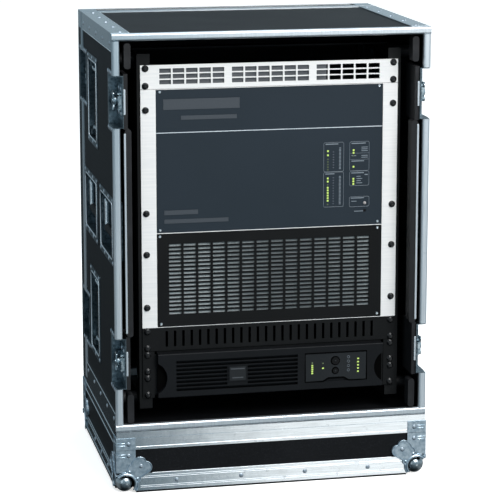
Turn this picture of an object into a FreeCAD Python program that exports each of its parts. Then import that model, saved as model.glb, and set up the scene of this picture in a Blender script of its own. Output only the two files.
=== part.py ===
import FreeCAD, Part
import operator
import os
import Sketcher

# A road case with fourteen units of 19 inch rack equipment in it: a blank vent panel,
# a ten unit processing rack, a second vent panel and an uninterruptible power supply.
# Millimetres, +Z up, the origin on the floor under the middle of the case,
# the front of the rack facing -Y.

NODE_FOLDER = "parts"
X_AXIS = FreeCAD.Vector(1, 0, 0)
Y_AXIS = FreeCAD.Vector(0, 1, 0)
Z_AXIS = FreeCAD.Vector(0, 0, 1)

doc = FreeCAD.newDocument("rack_case")
sheet = doc.addObject("Spreadsheet::Sheet", "dims")
nodes = []


# ---------------------------------------------------------------- sizes and helpers

class Size:
    """A number together with the spreadsheet expression that gives it."""

    def __init__(self, value, text):
        self.value = value
        self.text = text

    def __add__(self, other):
        return combine(self, "+", other)

    def __radd__(self, other):
        return combine(other, "+", self)

    def __sub__(self, other):
        return combine(self, "-", other)

    def __rsub__(self, other):
        return combine(other, "-", self)

    def __mul__(self, other):
        return combine(self, "*", other)

    def __rmul__(self, other):
        return combine(other, "*", self)

    def __truediv__(self, other):
        return combine(self, "/", other)

    def __neg__(self):
        return combine(0, "-", self)


OPERATIONS = {
    "+": operator.add,
    "-": operator.sub,
    "*": operator.mul,
    "/": operator.truediv,
}


def as_size(amount):
    """Wrap a plain number, so that numbers and Sizes can be mixed."""
    if isinstance(amount, Size):
        return amount
    return Size(amount, f"({amount})")


def combine(left, symbol, right):
    left, right = as_size(left), as_size(right)
    value = OPERATIONS[symbol](left.value, right.value)
    return Size(value, f"({left.text} {symbol} {right.text})")


def dimension(alias, value):
    """Put one driving dimension in the next row of the sheet."""
    dimension.row += 1
    sheet.set(f"A{dimension.row}", alias)
    sheet.set(f"B{dimension.row}", str(value))
    sheet.setAlias(f"B{dimension.row}", alias)
    return Size(value, f"dims.{alias}")


dimension.row = 0


def bind(item, prop, amount):
    item.setExpression(prop, as_size(amount).text)


def place(item, point, rotation=None):
    if rotation is not None:
        item.Placement = FreeCAD.Placement(FreeCAD.Vector(), rotation)
    for axis, amount in zip("xyz", point):
        bind(item, f"Placement.Base.{axis}", amount)


def ordered(ends):
    first, second = as_size(ends[0]), as_size(ends[1])
    return (first, second) if first.value <= second.value else (second, first)


def block(name, x_ends, y_ends, z_ends):
    """A box between two ends on each axis, given in either order."""
    item = doc.addObject("Part::Box", name)
    ends = [ordered(pair) for pair in (x_ends, y_ends, z_ends)]
    for prop, (low, high) in zip(("Length", "Width", "Height"), ends):
        bind(item, prop, high - low)
    place(item, [low for low, high in ends])
    return item


ALONG = {
    "x": FreeCAD.Rotation(Y_AXIS, 90),
    "y": FreeCAD.Rotation(X_AXIS, -90),
    "z": FreeCAD.Rotation(),
}


def rod(name, axis, base, radius, length):
    """A cylinder that starts at base and runs along +axis."""
    item = doc.addObject("Part::Cylinder", name)
    bind(item, "Radius", radius)
    bind(item, "Height", length)
    place(item, base, ALONG[axis])
    return item


def ball(name, centre, radius):
    item = doc.addObject("Part::Sphere", name)
    bind(item, "Radius", radius)
    place(item, centre)
    return item


def fuse(name, pieces):
    item = doc.addObject("Part::MultiFuse", name)
    item.Shapes = pieces
    item.Refine = True
    return item


def group(name, pieces):
    item = doc.addObject("Part::Compound", name)
    item.Links = pieces
    return item


def cut(name, base, tools):
    item = doc.addObject("Part::Cut", name)
    item.Base = base
    item.Tool = tools[0] if len(tools) == 1 else group(name + "_tools", tools)
    item.Refine = False
    return item


def mirrored(name, source):
    """The same piece on the other side of the case's middle plane."""
    item = doc.addObject("Part::Mirroring", name)
    item.Source = source
    item.Normal = X_AXIS
    return item


def copy(name, source, point, rotation=None):
    item = doc.addObject("App::Link", name)
    item.LinkedObject = source
    item.LinkTransform = True
    place(item, point, rotation)
    return item


def rounded(name, base, axis, radius):
    """Round a block's four edges that run along one axis."""
    doc.recompute()
    direction = {"x": X_AXIS, "y": Y_AXIS, "z": Z_AXIS}[axis]
    picked = []
    for index, edge in enumerate(base.Shape.Edges, 1):
        if abs(edge.tangentAt(edge.FirstParameter).dot(direction)) > 0.99:
            picked.append((index, as_size(radius).value, as_size(radius).value))
    item = doc.addObject("Part::Fillet", name)
    item.Base = base
    item.Edges = picked
    return item


def turned_body(name, outline):
    """A PartDesign body revolved about +Z from a closed outline of (radius, height) pairs."""
    body = doc.addObject("PartDesign::Body", name)
    sketch = outline_sketch(body, "XZ_Plane", outline)
    turn = body.newObject("PartDesign::Revolution", name + "_turn")
    turn.Profile = sketch
    turn.ReferenceAxis = (sketch, ["V_Axis"])
    turn.Angle = 360
    body.Tip = turn
    return body


def outline_sketch(body, plane_role, outline):
    """A closed polygon whose corners are each held by two sheet-bound distances."""
    sketch = body.newObject("Sketcher::SketchObject", body.Name + "_sketch")
    plane = [f for f in body.Origin.OriginFeatures if f.Role == plane_role][0]
    sketch.AttachmentSupport = [(plane, "")]
    sketch.MapMode = "FlatFace"
    corners = [FreeCAD.Vector(as_size(a).value, as_size(b).value, 0) for a, b in outline]
    for index, corner in enumerate(corners):
        following = corners[(index + 1) % len(corners)]
        sketch.addGeometry(Part.LineSegment(corner, following), False)
    for index in range(len(corners)):
        following = (index + 1) % len(corners)
        sketch.addConstraint(Sketcher.Constraint("Coincident", index, 2, following, 1))
    for index, (across, up) in enumerate(outline):
        for kind, amount in (("DistanceX", across), ("DistanceY", up)):
            value = as_size(amount).value
            number = sketch.addConstraint(Sketcher.Constraint(kind, -1, 1, index, 1, value))
            sketch.setExpression(f"Constraints[{number}]", as_size(amount).text)
    return sketch


def padded_body(name, plane_role, outline, thickness):
    """A PartDesign body padded from a closed outline, away from its origin plane."""
    body = doc.addObject("PartDesign::Body", name)
    sketch = outline_sketch(body, plane_role, outline)
    pad = body.newObject("PartDesign::Pad", name + "_pad")
    pad.Profile = sketch
    bind(pad, "Length", thickness)
    body.Tip = pad
    return body


def node(item, label):
    """Name a finished piece: the label is the name of its file."""
    item.Label = label
    nodes.append(item)
    return item


# ---------------------------------------------------------------- driving dimensions

case_width = dimension("case_width", 590)
case_depth = dimension("case_depth", 450)
case_height = dimension("case_height", 852)
base_height = dimension("base_height", 117)
lid_depth = dimension("lid_depth", 48)
skin = dimension("skin", 2)
ply = dimension("ply", 9)
rim_face = dimension("rim_face", 14)
rim_depth = dimension("rim_depth", 12)
angle_leg = dimension("angle_leg", 33)
rack_width = dimension("rack_width", 482.6)
rack_unit = dimension("rack_unit", 44.45)
rack_top = dimension("rack_top", 789)
rack_recess = dimension("rack_recess", 45)
rack_shift = dimension("rack_shift", 4)
dish_depth = dimension("dish_depth", 18)
sheet_metal = dimension("sheet_metal", 1.2)
handle_long = dimension("handle_long", 172)
handle_short = dimension("handle_short", 127)
handle_lip = dimension("handle_lip", 11)
bar_radius = dimension("bar_radius", 4)
grip_radius = dimension("grip_radius", 7)
arm_reach = dimension("arm_reach", 50)
latch_height = dimension("latch_height", 112)
latch_reach = dimension("latch_reach", 62)
latch_lip = dimension("latch_lip", 10)
upper_latch = dimension("upper_latch", 729)
lower_latch = dimension("lower_latch", 246)
hub_setback = dimension("hub_setback", 28)
pin_radius = dimension("pin_radius", 5)
running_gap = dimension("running_gap", 0.06)
rivet_radius = dimension("rivet_radius", 4.2)
rivet_rise = dimension("rivet_rise", 1.4)
doc.recompute()

half_width = case_width / 2
front = -case_depth / 2
back = case_depth / 2
seam = back - lid_depth
panel_face = half_width - skin
panel_inside = panel_face - ply
roof = case_height - skin - ply
gap = 0.5
flange_face = panel_face + sheet_metal
dish_floor = panel_face - dish_depth
floor_face = dish_floor + sheet_metal
window_height = latch_height - 2 * latch_lip
window_reach = latch_reach - latch_lip
LATCH_LEVELS = {"upper": upper_latch, "lower": lower_latch}

# Handle recesses on the left side: name, centre along Y, centre up, long way
HANDLES = [
    ("front", front + 100, as_size(488), "y"),
    ("rear", front + 303, as_size(488), "y"),
    ("upper", front + 266, as_size(697), "z"),
    ("lower", front + 266, as_size(280), "z"),
]


def handle_half_sizes(long_way, lip):
    """Half the recess along Y and along Z, inside a lip of the given width."""
    long_half = handle_long / 2 - lip
    short_half = handle_short / 2 - lip
    return (long_half, short_half) if long_way == "y" else (short_half, long_half)


# ---------------------------------------------------------------- case panels

def window_cutters(prefix, clearance):
    """Blocks that open the left side panel for its handle and latch recesses."""
    cutters = []
    x_ends = (-half_width - 5, -panel_inside + 5)
    for name, mid_y, mid_z, long_way in HANDLES:
        half_y, half_z = handle_half_sizes(long_way, handle_lip)
        half_y, half_z = half_y + clearance, half_z + clearance
        y_ends = (mid_y - half_y, mid_y + half_y)
        z_ends = (mid_z - half_z, mid_z + half_z)
        cutters.append(block(f"{prefix}_{name}_window", x_ends, y_ends, z_ends))
    for level, mid_z in LATCH_LEVELS.items():
        half_z = window_height / 2 + clearance
        z_ends = (mid_z - half_z, mid_z + half_z)
        front_ends = (front - 5, front + window_reach + clearance)
        rear_ends = (seam - window_reach - clearance, seam + lid_window + clearance)
        cutters.append(block(f"{prefix}_front_{level}_notch", x_ends, front_ends, z_ends))
        cutters.append(block(f"{prefix}_rear_{level}_notch", x_ends, rear_ends, z_ends))
    return cutters


lid_window = as_size(32)
panel_clearance = sheet_metal + gap
body_front = front + rim_depth
body_back = seam - rim_depth

top_panel = block(
    "top_panel", (-panel_face, panel_face), (body_front, body_back), (roof, roof + ply))
node(top_panel, "top_panel")

left_sheet = block(
    "left_sheet", (-panel_face, -panel_inside), (body_front, body_back), (base_height, roof))
left_panel = cut("left_panel", left_sheet, window_cutters("panel", panel_clearance))
right_panel = mirrored("right_panel", left_panel)
node(group("side_panels", [left_panel, right_panel]), "side_panels")

# The plinth: a bottom board, four skirts and the floor of the body, with the corners
# of the board and skirts cut away for the ball corners.
corner_notch = as_size(36)
band_bottom = as_size(83)
band_top = as_size(105)
foot = as_size(4)
skirt_top = base_height - ply
board = block(
    "board", (-panel_face, panel_face), (front + skin, back - skin), (0, ply))
front_skirt = block(
    "front_skirt", (-panel_face, panel_face), (front + skin, front + skin + ply), (ply, skirt_top))
rear_skirt = block(
    "rear_skirt", (-panel_face, panel_face), (back - skin - ply, back - skin), (ply, skirt_top))
left_skirt = block(
    "left_skirt", (-panel_face, -panel_inside),
    (front + skin + ply, back - skin - ply), (ply, skirt_top))
body_floor = block(
    "body_floor", (-panel_face, panel_face), (body_front, back - skin), (skirt_top, base_height))


def notch_blocks(prefix):
    blocks = []
    for x_name, x_sign in (("left", -1), ("right", 1)):
        for y_name, y_sign in (("front", -1), ("rear", 1)):
            x_ends = (x_sign * (half_width + 5), x_sign * (half_width - corner_notch))
            y_ends = (y_sign * (back + 5), y_sign * (back - corner_notch))
            blocks.append(block(
                f"{prefix}_{x_name}_{y_name}", x_ends, y_ends, (-5, corner_notch)))
    return blocks


base_pieces = [
    cut("notched_" + piece.Name, piece, notch_blocks("notch_" + piece.Name))
    for piece in (board, front_skirt, rear_skirt, left_skirt)
]
base_pieces += [mirrored("notched_right_skirt", base_pieces[-1]), body_floor]
node(group("base_panels", base_pieces), "base_panels")

# The rear lid: a back board and four walls, opened for the lid halves of the latches.
lid_front = seam + rim_depth
lid_back_board = block(
    "lid_back_board", (-panel_face, panel_face), (back - skin - ply, back - skin),
    (base_height, roof + ply))
lid_roof = block(
    "lid_roof", (-panel_face, panel_face), (lid_front, back - skin - ply), (roof, roof + ply))
lid_left_sheet = block(
    "lid_left_sheet", (-panel_face, -panel_inside), (lid_front, back - skin - ply),
    (base_height, roof))
lid_left = cut("lid_left", lid_left_sheet, window_cutters("lid", panel_clearance))
lid_right = mirrored("lid_right", lid_left)
node(group("rear_lid", [lid_back_board, lid_roof, lid_left, lid_right]), "rear_lid")


# ---------------------------------------------------------------- aluminium extrusions

def rim_pieces(prefix, y_ends, round_front):
    """A rectangular frame of rim, its sides broken by the latch recesses."""
    inner = half_width - rim_face
    top_ends = (case_height - rim_face, case_height)
    bottom_ends = (base_height, base_height + rim_face)
    half_gap = window_height / 2 + panel_clearance
    side_ends = [
        (bottom_ends[1], lower_latch - half_gap),
        (lower_latch + half_gap, upper_latch - half_gap),
        (upper_latch + half_gap, top_ends[0]),
    ]
    bars = [
        block(f"{prefix}_top", (-half_width, half_width), y_ends, top_ends),
        block(f"{prefix}_bottom", (-half_width, half_width), y_ends, bottom_ends),
    ]
    run_axes = ["x", "x"]
    for index, z_ends in enumerate(side_ends, 1):
        bars.append(block(f"{prefix}_left_{index}", (-half_width, -inner), y_ends, z_ends))
        bars.append(block(f"{prefix}_right_{index}", (inner, half_width), y_ends, z_ends))
        run_axes += ["z", "z"]
    if not round_front:
        return bars
    return [
        rounded(f"{bar.Name}_bar", bar, axis, rim_radius)
        for bar, axis in zip(bars, run_axes)
    ]


rim_radius = as_size(4)
node(group("front_rim", rim_pieces("front_rim", (front, body_front), True)), "front_rim")
rear_rims = rim_pieces("body_rim", (body_back, seam - gap), False)
rear_rims += rim_pieces("lid_rim", (seam + gap, lid_front), False)
node(group("rear_rims", rear_rims), "rear_rims")


def angle_bar(name, y_ends, corner_z, leg_z):
    """An angle along a left side edge: one leg on the side, one on the top or bottom."""
    upright = block(
        name + "_upright", (-half_width, -panel_face), y_ends, (corner_z, leg_z))
    lying_thick = skin if as_size(corner_z).value < as_size(leg_z).value else -skin
    lying = block(
        name + "_lying", (-half_width, -half_width + angle_leg), y_ends,
        (corner_z, corner_z + lying_thick))
    return fuse(name, [upright, lying])


side_run = (body_front, body_back)
base_run = (front + corner_notch, back - corner_notch)
long_bars = [
    angle_bar("top_angle", side_run, case_height, case_height - angle_leg),
    block("body_foot_flat", (-half_width, -panel_face), side_run,
          (base_height, base_height + angle_leg)),
    angle_bar("lid_angle", (lid_front, back - skin), case_height, case_height - angle_leg),
    block("base_side_angle", (-half_width, -panel_face), base_run, (foot, foot + angle_leg)),
    block("base_side_band", (-half_width, -panel_face), (front + skin, back - skin),
          (band_bottom + 2, base_height)),
    block("lid_post", (-half_width, -half_width + angle_leg), (back - skin, back),
          (base_height, case_height)),
]
edge_bars = list(long_bars)
edge_bars += [mirrored(bar.Name + "_right", bar) for bar in long_bars]
across = (-half_width, half_width)
angle_across = (-half_width + corner_notch, half_width - corner_notch)
post_inside = half_width - angle_leg
for name, face_ends in (("front", (front, front + skin)), ("rear", (back - skin, back))):
    edge_bars.append(block(
        f"base_{name}_angle", angle_across, face_ends, (foot, foot + angle_leg)))
    edge_bars.append(block(f"base_{name}_band", across, face_ends, (band_bottom, band_top)))
edge_bars.append(block(
    "base_front_step", across, (front + 1, front + skin), (band_top, base_height)))
edge_bars.append(block(
    "lid_foot_flat", (-post_inside, post_inside), (back - skin, back),
    (base_height, base_height + angle_leg)))
edge_bars.append(block(
    "lid_head_flat", (-post_inside, post_inside), (back - skin, back),
    (case_height - angle_leg, case_height)))
node(group("edge_bars", edge_bars), "edge_bars")

# ---------------------------------------------------------------- corner hardware

plate = as_size(1.2)
ball_radius = as_size(17.5)
ball_proud = as_size(1)
brace_width = as_size(35)
brace_pieces = []
corner_pieces = []
LOBES = [(43, 57), (53, 49), (43, 47), (33, 39), (30, 32)]
lobe_radius = as_size(11)
for y_name, y_sign in (("front", -1), ("rear", 1)):
    outer_y = y_sign * (back + plate)
    face_y = y_sign * back
    leaf = []
    for lobe, (lobe_in, lobe_up) in enumerate(LOBES):
        leaf.append(rod(
            f"leaf_{y_name}_face_{lobe}", "y",
            (-half_width + lobe_in, ordered((outer_y, face_y))[0], lobe_up),
            lobe_radius, plate))
        leaf.append(rod(
            f"leaf_{y_name}_side_{lobe}", "x",
            (-half_width - plate, y_sign * (back - lobe_in), lobe_up),
            lobe_radius, plate))
    leaf.append(block(
        f"leaf_{y_name}_face_web", (-half_width - plate, -half_width + 34), (outer_y, face_y),
        (22, 36)))
    leaf.append(block(
        f"leaf_{y_name}_side_web", (-half_width - plate, -half_width),
        (face_y, y_sign * (back - 34)), (22, 36)))
    centre_y = y_sign * (back - ball_radius + ball_proud)
    sphere = ball(
        f"ball_{y_name}", (-half_width + ball_radius - ball_proud, centre_y, ball_radius),
        ball_radius)
    corner_pieces.append(fuse(f"ball_corner_{y_name}", [sphere] + leaf))
    for level, z_ends in (("upper", (band_bottom, band_top)), ("lower", (40, band_bottom - gap))):
        face_leg = block(
            f"brace_{y_name}_{level}_face", (-half_width - plate, -half_width + brace_width),
            (outer_y, face_y), z_ends)
        side_leg = block(
            f"brace_{y_name}_{level}_side", (-half_width - plate, -half_width),
            (face_y, y_sign * (back - brace_width)), z_ends)
        brace = fuse(f"brace_{y_name}_{level}", [face_leg, side_leg])
        if level == "lower":
            brace = cut(f"brace_{y_name}_trimmed", brace, leaf)
        brace_pieces.append(brace)
brace_pieces += [mirrored(piece.Name + "_right", piece) for piece in brace_pieces]
corner_pieces += [mirrored(piece.Name + "_right", piece) for piece in corner_pieces]
node(group("corner_braces", brace_pieces), "corner_braces")
node(group("ball_corners", corner_pieces), "ball_corners")


# ---------------------------------------------------------------- recessed dishes

def tray(name, y_ends, z_ends, window_y, window_z, wall_y):
    """A pressed tray in the left side: a flange, and a tub round the window."""
    flange = block(name + "_flange", (-flange_face, -panel_face), y_ends, z_ends)
    flange = rounded(name + "_plate", flange, "x", 5)
    tub_z = (window_z[0] - sheet_metal, window_z[1] + sheet_metal)
    tub = block(name + "_tub", (-panel_face, -dish_floor), wall_y, tub_z)
    hollow = block(name + "_hollow", (-half_width - 5, -floor_face), window_y, window_z)
    return cut(name, fuse(name + "_blank", [flange, tub]), [hollow])


handle_trays = []
for name, mid_y, mid_z, long_way in HANDLES:
    outer_y, outer_z = handle_half_sizes(long_way, 0)
    half_y, half_z = handle_half_sizes(long_way, handle_lip)
    window_y = (mid_y - half_y, mid_y + half_y)
    wall_y = (window_y[0] - sheet_metal, window_y[1] + sheet_metal)
    shell = tray(
        f"tray_{name}", (mid_y - outer_y, mid_y + outer_y), (mid_z - outer_z, mid_z + outer_z),
        window_y, (mid_z - half_z, mid_z + half_z), wall_y)
    handle_trays.append(shell)

latch_trays = []
for level, mid_z in LATCH_LEVELS.items():
    z_ends = (mid_z - latch_height / 2, mid_z + latch_height / 2)
    window_z = (mid_z - window_height / 2, mid_z + window_height / 2)
    latch_trays.append(tray(
        f"latch_tray_front_{level}", (body_front, front + latch_reach), z_ends,
        (front - 5, front + window_reach), window_z,
        (front, front + window_reach + sheet_metal)))
    latch_trays.append(tray(
        f"latch_tray_rear_{level}", (seam - latch_reach, body_back), z_ends,
        (seam - window_reach, seam + 5), window_z,
        (seam - window_reach - sheet_metal, seam - gap)))
    latch_trays.append(tray(
        f"latch_tray_lid_{level}", (lid_front, seam + lid_window + 8), z_ends,
        (seam - 5, seam + lid_window), window_z,
        (seam + gap, seam + lid_window + sheet_metal)))
latch_trays += [mirrored(piece.Name + "_right", piece) for piece in latch_trays]
node(group("latch_dishes", latch_trays), "latch_dishes")

# ---------------------------------------------------------------- handles

pivot_depth = panel_face - 8
arm_half = as_size(56)
block_near = arm_half + 5
block_far = arm_half + 15
pivot_offset = as_size(36)
grip_half = as_size(46)


def handle_point(long_way, mid_y, mid_z, along, down):
    """A point of a left handle: along its pivot line, and down from its pivot."""
    if long_way == "y":
        return (-pivot_depth, mid_y + along, mid_z + pivot_offset - down)
    return (-pivot_depth, mid_y + pivot_offset - down, mid_z + along)


def bar_between(name, long_way, start, length, runs_along_pivot, radius):
    axis = long_way
    if not runs_along_pivot:
        axis = "z" if long_way == "y" else "y"
    return rod(name, axis, start, radius, length)


brackets = []
for name, mid_y, mid_z, long_way in HANDLES:
    pieces = []
    for end, sign in (("low", -1), ("high", 1)):
        arm_end = handle_point(long_way, mid_y, mid_z, sign * arm_half, arm_reach)
        pivot_end = handle_point(long_way, mid_y, mid_z, sign * arm_half, 0)
        pieces.append(bar_between(
            f"bail_{name}_{end}_arm", long_way, arm_end, arm_reach, False, bar_radius))
        pieces.append(ball(f"bail_{name}_{end}_elbow", arm_end, bar_radius))
        pieces.append(ball(f"bail_{name}_{end}_shoulder", pivot_end, bar_radius))
        stub_from = arm_half if sign == 1 else -(block_far - 1)
        stub_start = handle_point(long_way, mid_y, mid_z, stub_from, 0)
        pieces.append(bar_between(
            f"bail_{name}_{end}_stub", long_way, stub_start, block_far - 1 - arm_half,
            True, bar_radius))
        near = handle_point(long_way, mid_y, mid_z, sign * block_near, -6)
        far = handle_point(long_way, mid_y, mid_z, sign * block_far, 6)
        lug = block(
            f"lug_{name}_{end}_blank", (-floor_face - 0.2, -pivot_depth - 6),
            (near[1], far[1]), (near[2], far[2]))
        bore_start = handle_point(
            long_way, mid_y, mid_z, (block_near - 1 if sign == 1 else -block_far - 1), 0)
        bore = bar_between(
            f"lug_{name}_{end}_bore", long_way, bore_start, block_far - block_near + 2,
            True, bar_radius + running_gap)
        brackets.append(cut(f"lug_{name}_{end}", lug, [bore]))
    cross_start = handle_point(long_way, mid_y, mid_z, -arm_half, arm_reach)
    pieces.append(bar_between(
        f"bail_{name}_cross", long_way, cross_start, 2 * arm_half, True, bar_radius))
    grip_start = handle_point(long_way, mid_y, mid_z, -grip_half, arm_reach)
    pieces.append(bar_between(
        f"bail_{name}_grip", long_way, grip_start, 2 * grip_half, True, grip_radius))
    bail = fuse(f"left_{name}_bail", pieces)
    node(bail, f"left_{name}_bail")
    node(mirrored(f"right_{name}_bail", bail), f"right_{name}_bail")

handle_pieces = handle_trays + brackets
handle_pieces += [mirrored(piece.Name + "_right", piece) for piece in handle_pieces]
node(group("handle_dishes", handle_pieces), "handle_dishes")

# ---------------------------------------------------------------- latches

latch_plate = floor_face + 1.5
hook_low = latch_plate + 3.3
hook_high = hook_low + 3
wing_low = hook_high + 1
wing_high = wing_low + 6
wing_reach = as_size(21)
wing_half = as_size(9)
hub_radius = as_size(10)
hook_half = as_size(11)
hook_travel = as_size(9)


def latch(end, open_edge, outward, level, mid_z):
    """One butterfly latch: outward is +1 when its hook reaches towards +Y."""
    tag = f"{end}_{level}"
    hub_y = open_edge - outward * hub_setback

    def beyond(distance):
        return hub_y + outward * distance

    base = block(
        f"plate_{tag}", (-latch_plate, -floor_face - 0.1),
        (beyond(-20), beyond(20)), (mid_z - 32, mid_z + 32))
    post = rod(
        f"post_{tag}", "x", (-wing_high - 1, hub_y, mid_z), pin_radius,
        wing_high + 1 - latch_plate + 0.5)
    fixed_plate = fuse(f"latch_plate_{tag}", [base, post])

    tip = hub_setback - 2 if outward == -1 else hub_setback + 21
    strip = block(
        f"strip_{tag}", (-hook_high, -hook_low), (beyond(-20), beyond(tip)),
        (mid_z - hook_half, mid_z + hook_half))
    claw = block(
        f"claw_{tag}", (-hook_high, -hook_low + 2.6), (beyond(tip - 3), beyond(tip)),
        (mid_z - hook_half, mid_z + hook_half))
    slot = block(
        f"slot_{tag}", (-hook_high - 1, -hook_low + 1),
        (beyond(-pin_radius - 1 - hook_travel), beyond(pin_radius + 1)),
        (mid_z - pin_radius - 0.5, mid_z + pin_radius + 0.5))
    hook = cut(f"left_{tag}_hook", fuse(f"hook_blank_{tag}", [strip, claw]), [slot])

    hub = rod(f"hub_{tag}", "x", (-wing_high, hub_y, mid_z), hub_radius, wing_high - wing_low)
    lobes = block(
        f"lobes_{tag}", (-wing_high, -wing_high + 2.5),
        (hub_y - wing_half, hub_y + wing_half), (mid_z - wing_reach + 3, mid_z + wing_reach - 3))
    lobes = rounded(f"lobe_plate_{tag}", lobes, "x", 5)
    bore = rod(
        f"wing_bore_{tag}", "x", (-wing_high - 1, hub_y, mid_z), pin_radius + running_gap,
        wing_high - wing_low + 2)
    wing = cut(f"left_{tag}_wing", fuse(f"wing_blank_{tag}", [hub, lobes]), [bore])
    return fixed_plate, hook, wing


latch_plates = []
for level, mid_z in LATCH_LEVELS.items():
    for end, open_edge, outward in (("front", front, -1), ("rear", seam, 1)):
        fixed_plate, hook, wing = latch(end, open_edge, outward, level, mid_z)
        latch_plates.append(fixed_plate)
        for piece, kind in ((hook, "hook"), (wing, "wing")):
            node(piece, f"left_{end}_{level}_{kind}")
            other = mirrored(f"right_{end}_{level}_{kind}", piece)
            node(other, f"right_{end}_{level}_{kind}")
    keeper_foot = block(
        f"keeper_foot_{level}", (-latch_plate, -floor_face - 0.1), (seam + 6, seam + 28),
        (mid_z - 26, mid_z + 26))
    keeper_lip = block(
        f"keeper_lip_{level}", (-hook_low + 0.6, -latch_plate), (seam + 13.5, seam + 17),
        (mid_z - hook_half, mid_z + hook_half))
    latch_plates.append(fuse(f"keeper_{level}", [keeper_foot, keeper_lip]))
latch_plates += [mirrored(piece.Name + "_right", piece) for piece in latch_plates]
node(group("latch_plates", latch_plates), "latch_plates")

# ---------------------------------------------------------------- lining inside the rim

lip_inner = half_width - 21.5
trim_inner = half_width - 34
latch_half = latch_height / 2
trim_spans = [
    (base_height + rim_face + 2, lower_latch - latch_half - 3),
    (lower_latch + latch_half - 6, upper_latch - latch_half + 6),
    (upper_latch + latch_half + 3, case_height - rim_face - 4),
]
lining = []
for index, z_ends in enumerate(trim_spans, 1):
    strip = block(
        f"trim_{index}", (-lip_inner + 0.5, -trim_inner), (front + 3, front + 27), z_ends)
    strip = rounded(f"trim_strip_{index}", strip, "y", 5)
    lining.append(strip)
for level, mid_z in LATCH_LEVELS.items():
    lining.append(block(
        f"latch_cover_{level}", (-dish_floor + 0.4, -trim_inner - 6), (front + 4, front + 66),
        (mid_z - 50, mid_z + 50)))
lining += [mirrored(piece.Name + "_right", piece) for piece in lining]
node(group("edge_trim", lining), "edge_trim")

# ---------------------------------------------------------------- rack frame and mounts

panel_sheet = as_size(3)
panel_front = front + rack_recess
panel_back = panel_front + panel_sheet
half_rack = rack_width / 2
screw_column = half_rack - 8.9
hole_radius = as_size(3.4)
rail_depth = as_size(30)
rack_units = 14


def rack_level(units_down):
    """Height of a point this many rack units below the top of the rack."""
    return rack_top - units_down * rack_unit


UNIT_HOLE = 6.35
# Screw heights, as millimetres below the top of the rack
one_unit_holes = [UNIT_HOLE, 38.1]
core_holes = [44.45 + 38, 311.15 - 38, 311.15 + 39, 488.95 - 39]
lower_vent_holes = [488.95 + drop for drop in one_unit_holes]
ups_holes = [533.4 + drop for drop in (UNIT_HOLE, 38.1, 50.8, 82.55)]


def screw_holes(prefix, drops, y_ends):
    tools = []
    for index, drop in enumerate(drops, 1):
        for side, sign in (("left", -1), ("right", 1)):
            tools.append(rod(
                f"{prefix}_hole_{side}_{index}", "y",
                (rack_shift + sign * screw_column, y_ends[0], rack_top - drop),
                hole_radius, y_ends[1] - y_ends[0]))
    return tools


all_drops = one_unit_holes + core_holes + lower_vent_holes + ups_holes
rail_bottom = rack_level(rack_units) - 20
rail_top = rack_top + 20
frame_pieces = []
for side, sign in (("left", -1), ("right", 1)):
    outer = rack_shift + sign * (half_rack + 6)
    rail_face = block(
        f"rail_face_{side}", (rack_shift + sign * (half_rack - 18), outer),
        (panel_back, panel_back + 3), (rail_bottom, rail_top))
    rail_side = block(
        f"rail_side_{side}", (outer - sign * 3, outer), (panel_back, panel_back + rail_depth),
        (rail_bottom, rail_top))
    blank = fuse(f"rail_blank_{side}", [rail_face, rail_side])
    frame_pieces.append(cut(
        f"front_rail_{side}", blank,
        screw_holes(f"rail_{side}", all_drops, (panel_back - 2, panel_back + 8))))
    frame_pieces.append(block(
        f"rear_rail_{side}", (outer - sign * 3, outer), (seam - 60, seam - 30),
        (rail_bottom, rail_top)))
    for level, z_ends in (
            ("low", (rail_bottom, rail_bottom + 25)), ("high", (rail_top - 25, rail_top))):
        frame_pieces.append(block(
            f"side_beam_{side}_{level}", (outer - sign * 3, outer),
            (panel_back + rail_depth, seam - 60), z_ends))
for level, z_ends in (
        ("low", (rail_bottom, rail_bottom + 3)), ("high", (rail_top - 3, rail_top))):
    frame_pieces.append(block(
        f"cross_beam_{level}",
        (rack_shift - half_rack - 3, rack_shift + half_rack + 3),
        (panel_back + rail_depth + 60, panel_back + rail_depth + 100), z_ends))
node(group("rack_frame", frame_pieces), "rack_frame")

mounts = []
for y_name, mid_y in (("front", front + 90), ("rear", front + 290)):
    for level, mid_z in (("low", rail_bottom + 12), ("high", rail_top - 12)):
        for side, sign in (("left", -1), ("right", 1)):
            frame_face = rack_shift + sign * (half_rack + 6)
            wall = sign * panel_inside
            low_x, high_x = ordered((frame_face, wall))
            mounts.append(rod(
                f"mount_{side}_{y_name}_{level}", "x", (low_x, mid_y, mid_z), 11,
                high_x - low_x))
node(group("shock_mounts", mounts), "shock_mounts")


# ---------------------------------------------------------------- blank vent panels

def rack_plate(name, top_drop, units):
    """A flat panel of whole rack units, a little under size."""
    return block(
        name, (rack_shift - half_rack, rack_shift + half_rack), (panel_front, panel_back),
        (rack_top - top_drop - units * rack_unit + 0.4, rack_top - top_drop - 0.4))


def slot_block(name, left, width, top_drop, height):
    return block(
        name, (rack_shift + left, rack_shift + left + width),
        (panel_front - 2, panel_back + 2),
        (rack_top - top_drop - height, rack_top - top_drop))


SLOT_GROUPS = [(-206.3, 5), (-72.25, 6), (86.4, 5)]
slot_width = as_size(21.5)
slot_pitch = as_size(24.6)
slot_rise = as_size(8.2)
tools = screw_holes("top_vent", one_unit_holes, (panel_front - 2, panel_back + 2))
for start, columns in SLOT_GROUPS:
    for column in range(columns):
        for row in range(3):
            tools.append(slot_block(
                f"top_slot_{len(tools)}", start + column * slot_pitch, slot_width,
                7.0 + row * 10.4, slot_rise))
node(cut("top_vent_panel", rack_plate("top_vent_plate", as_size(0), 1), tools), "top_vent_panel")

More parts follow.
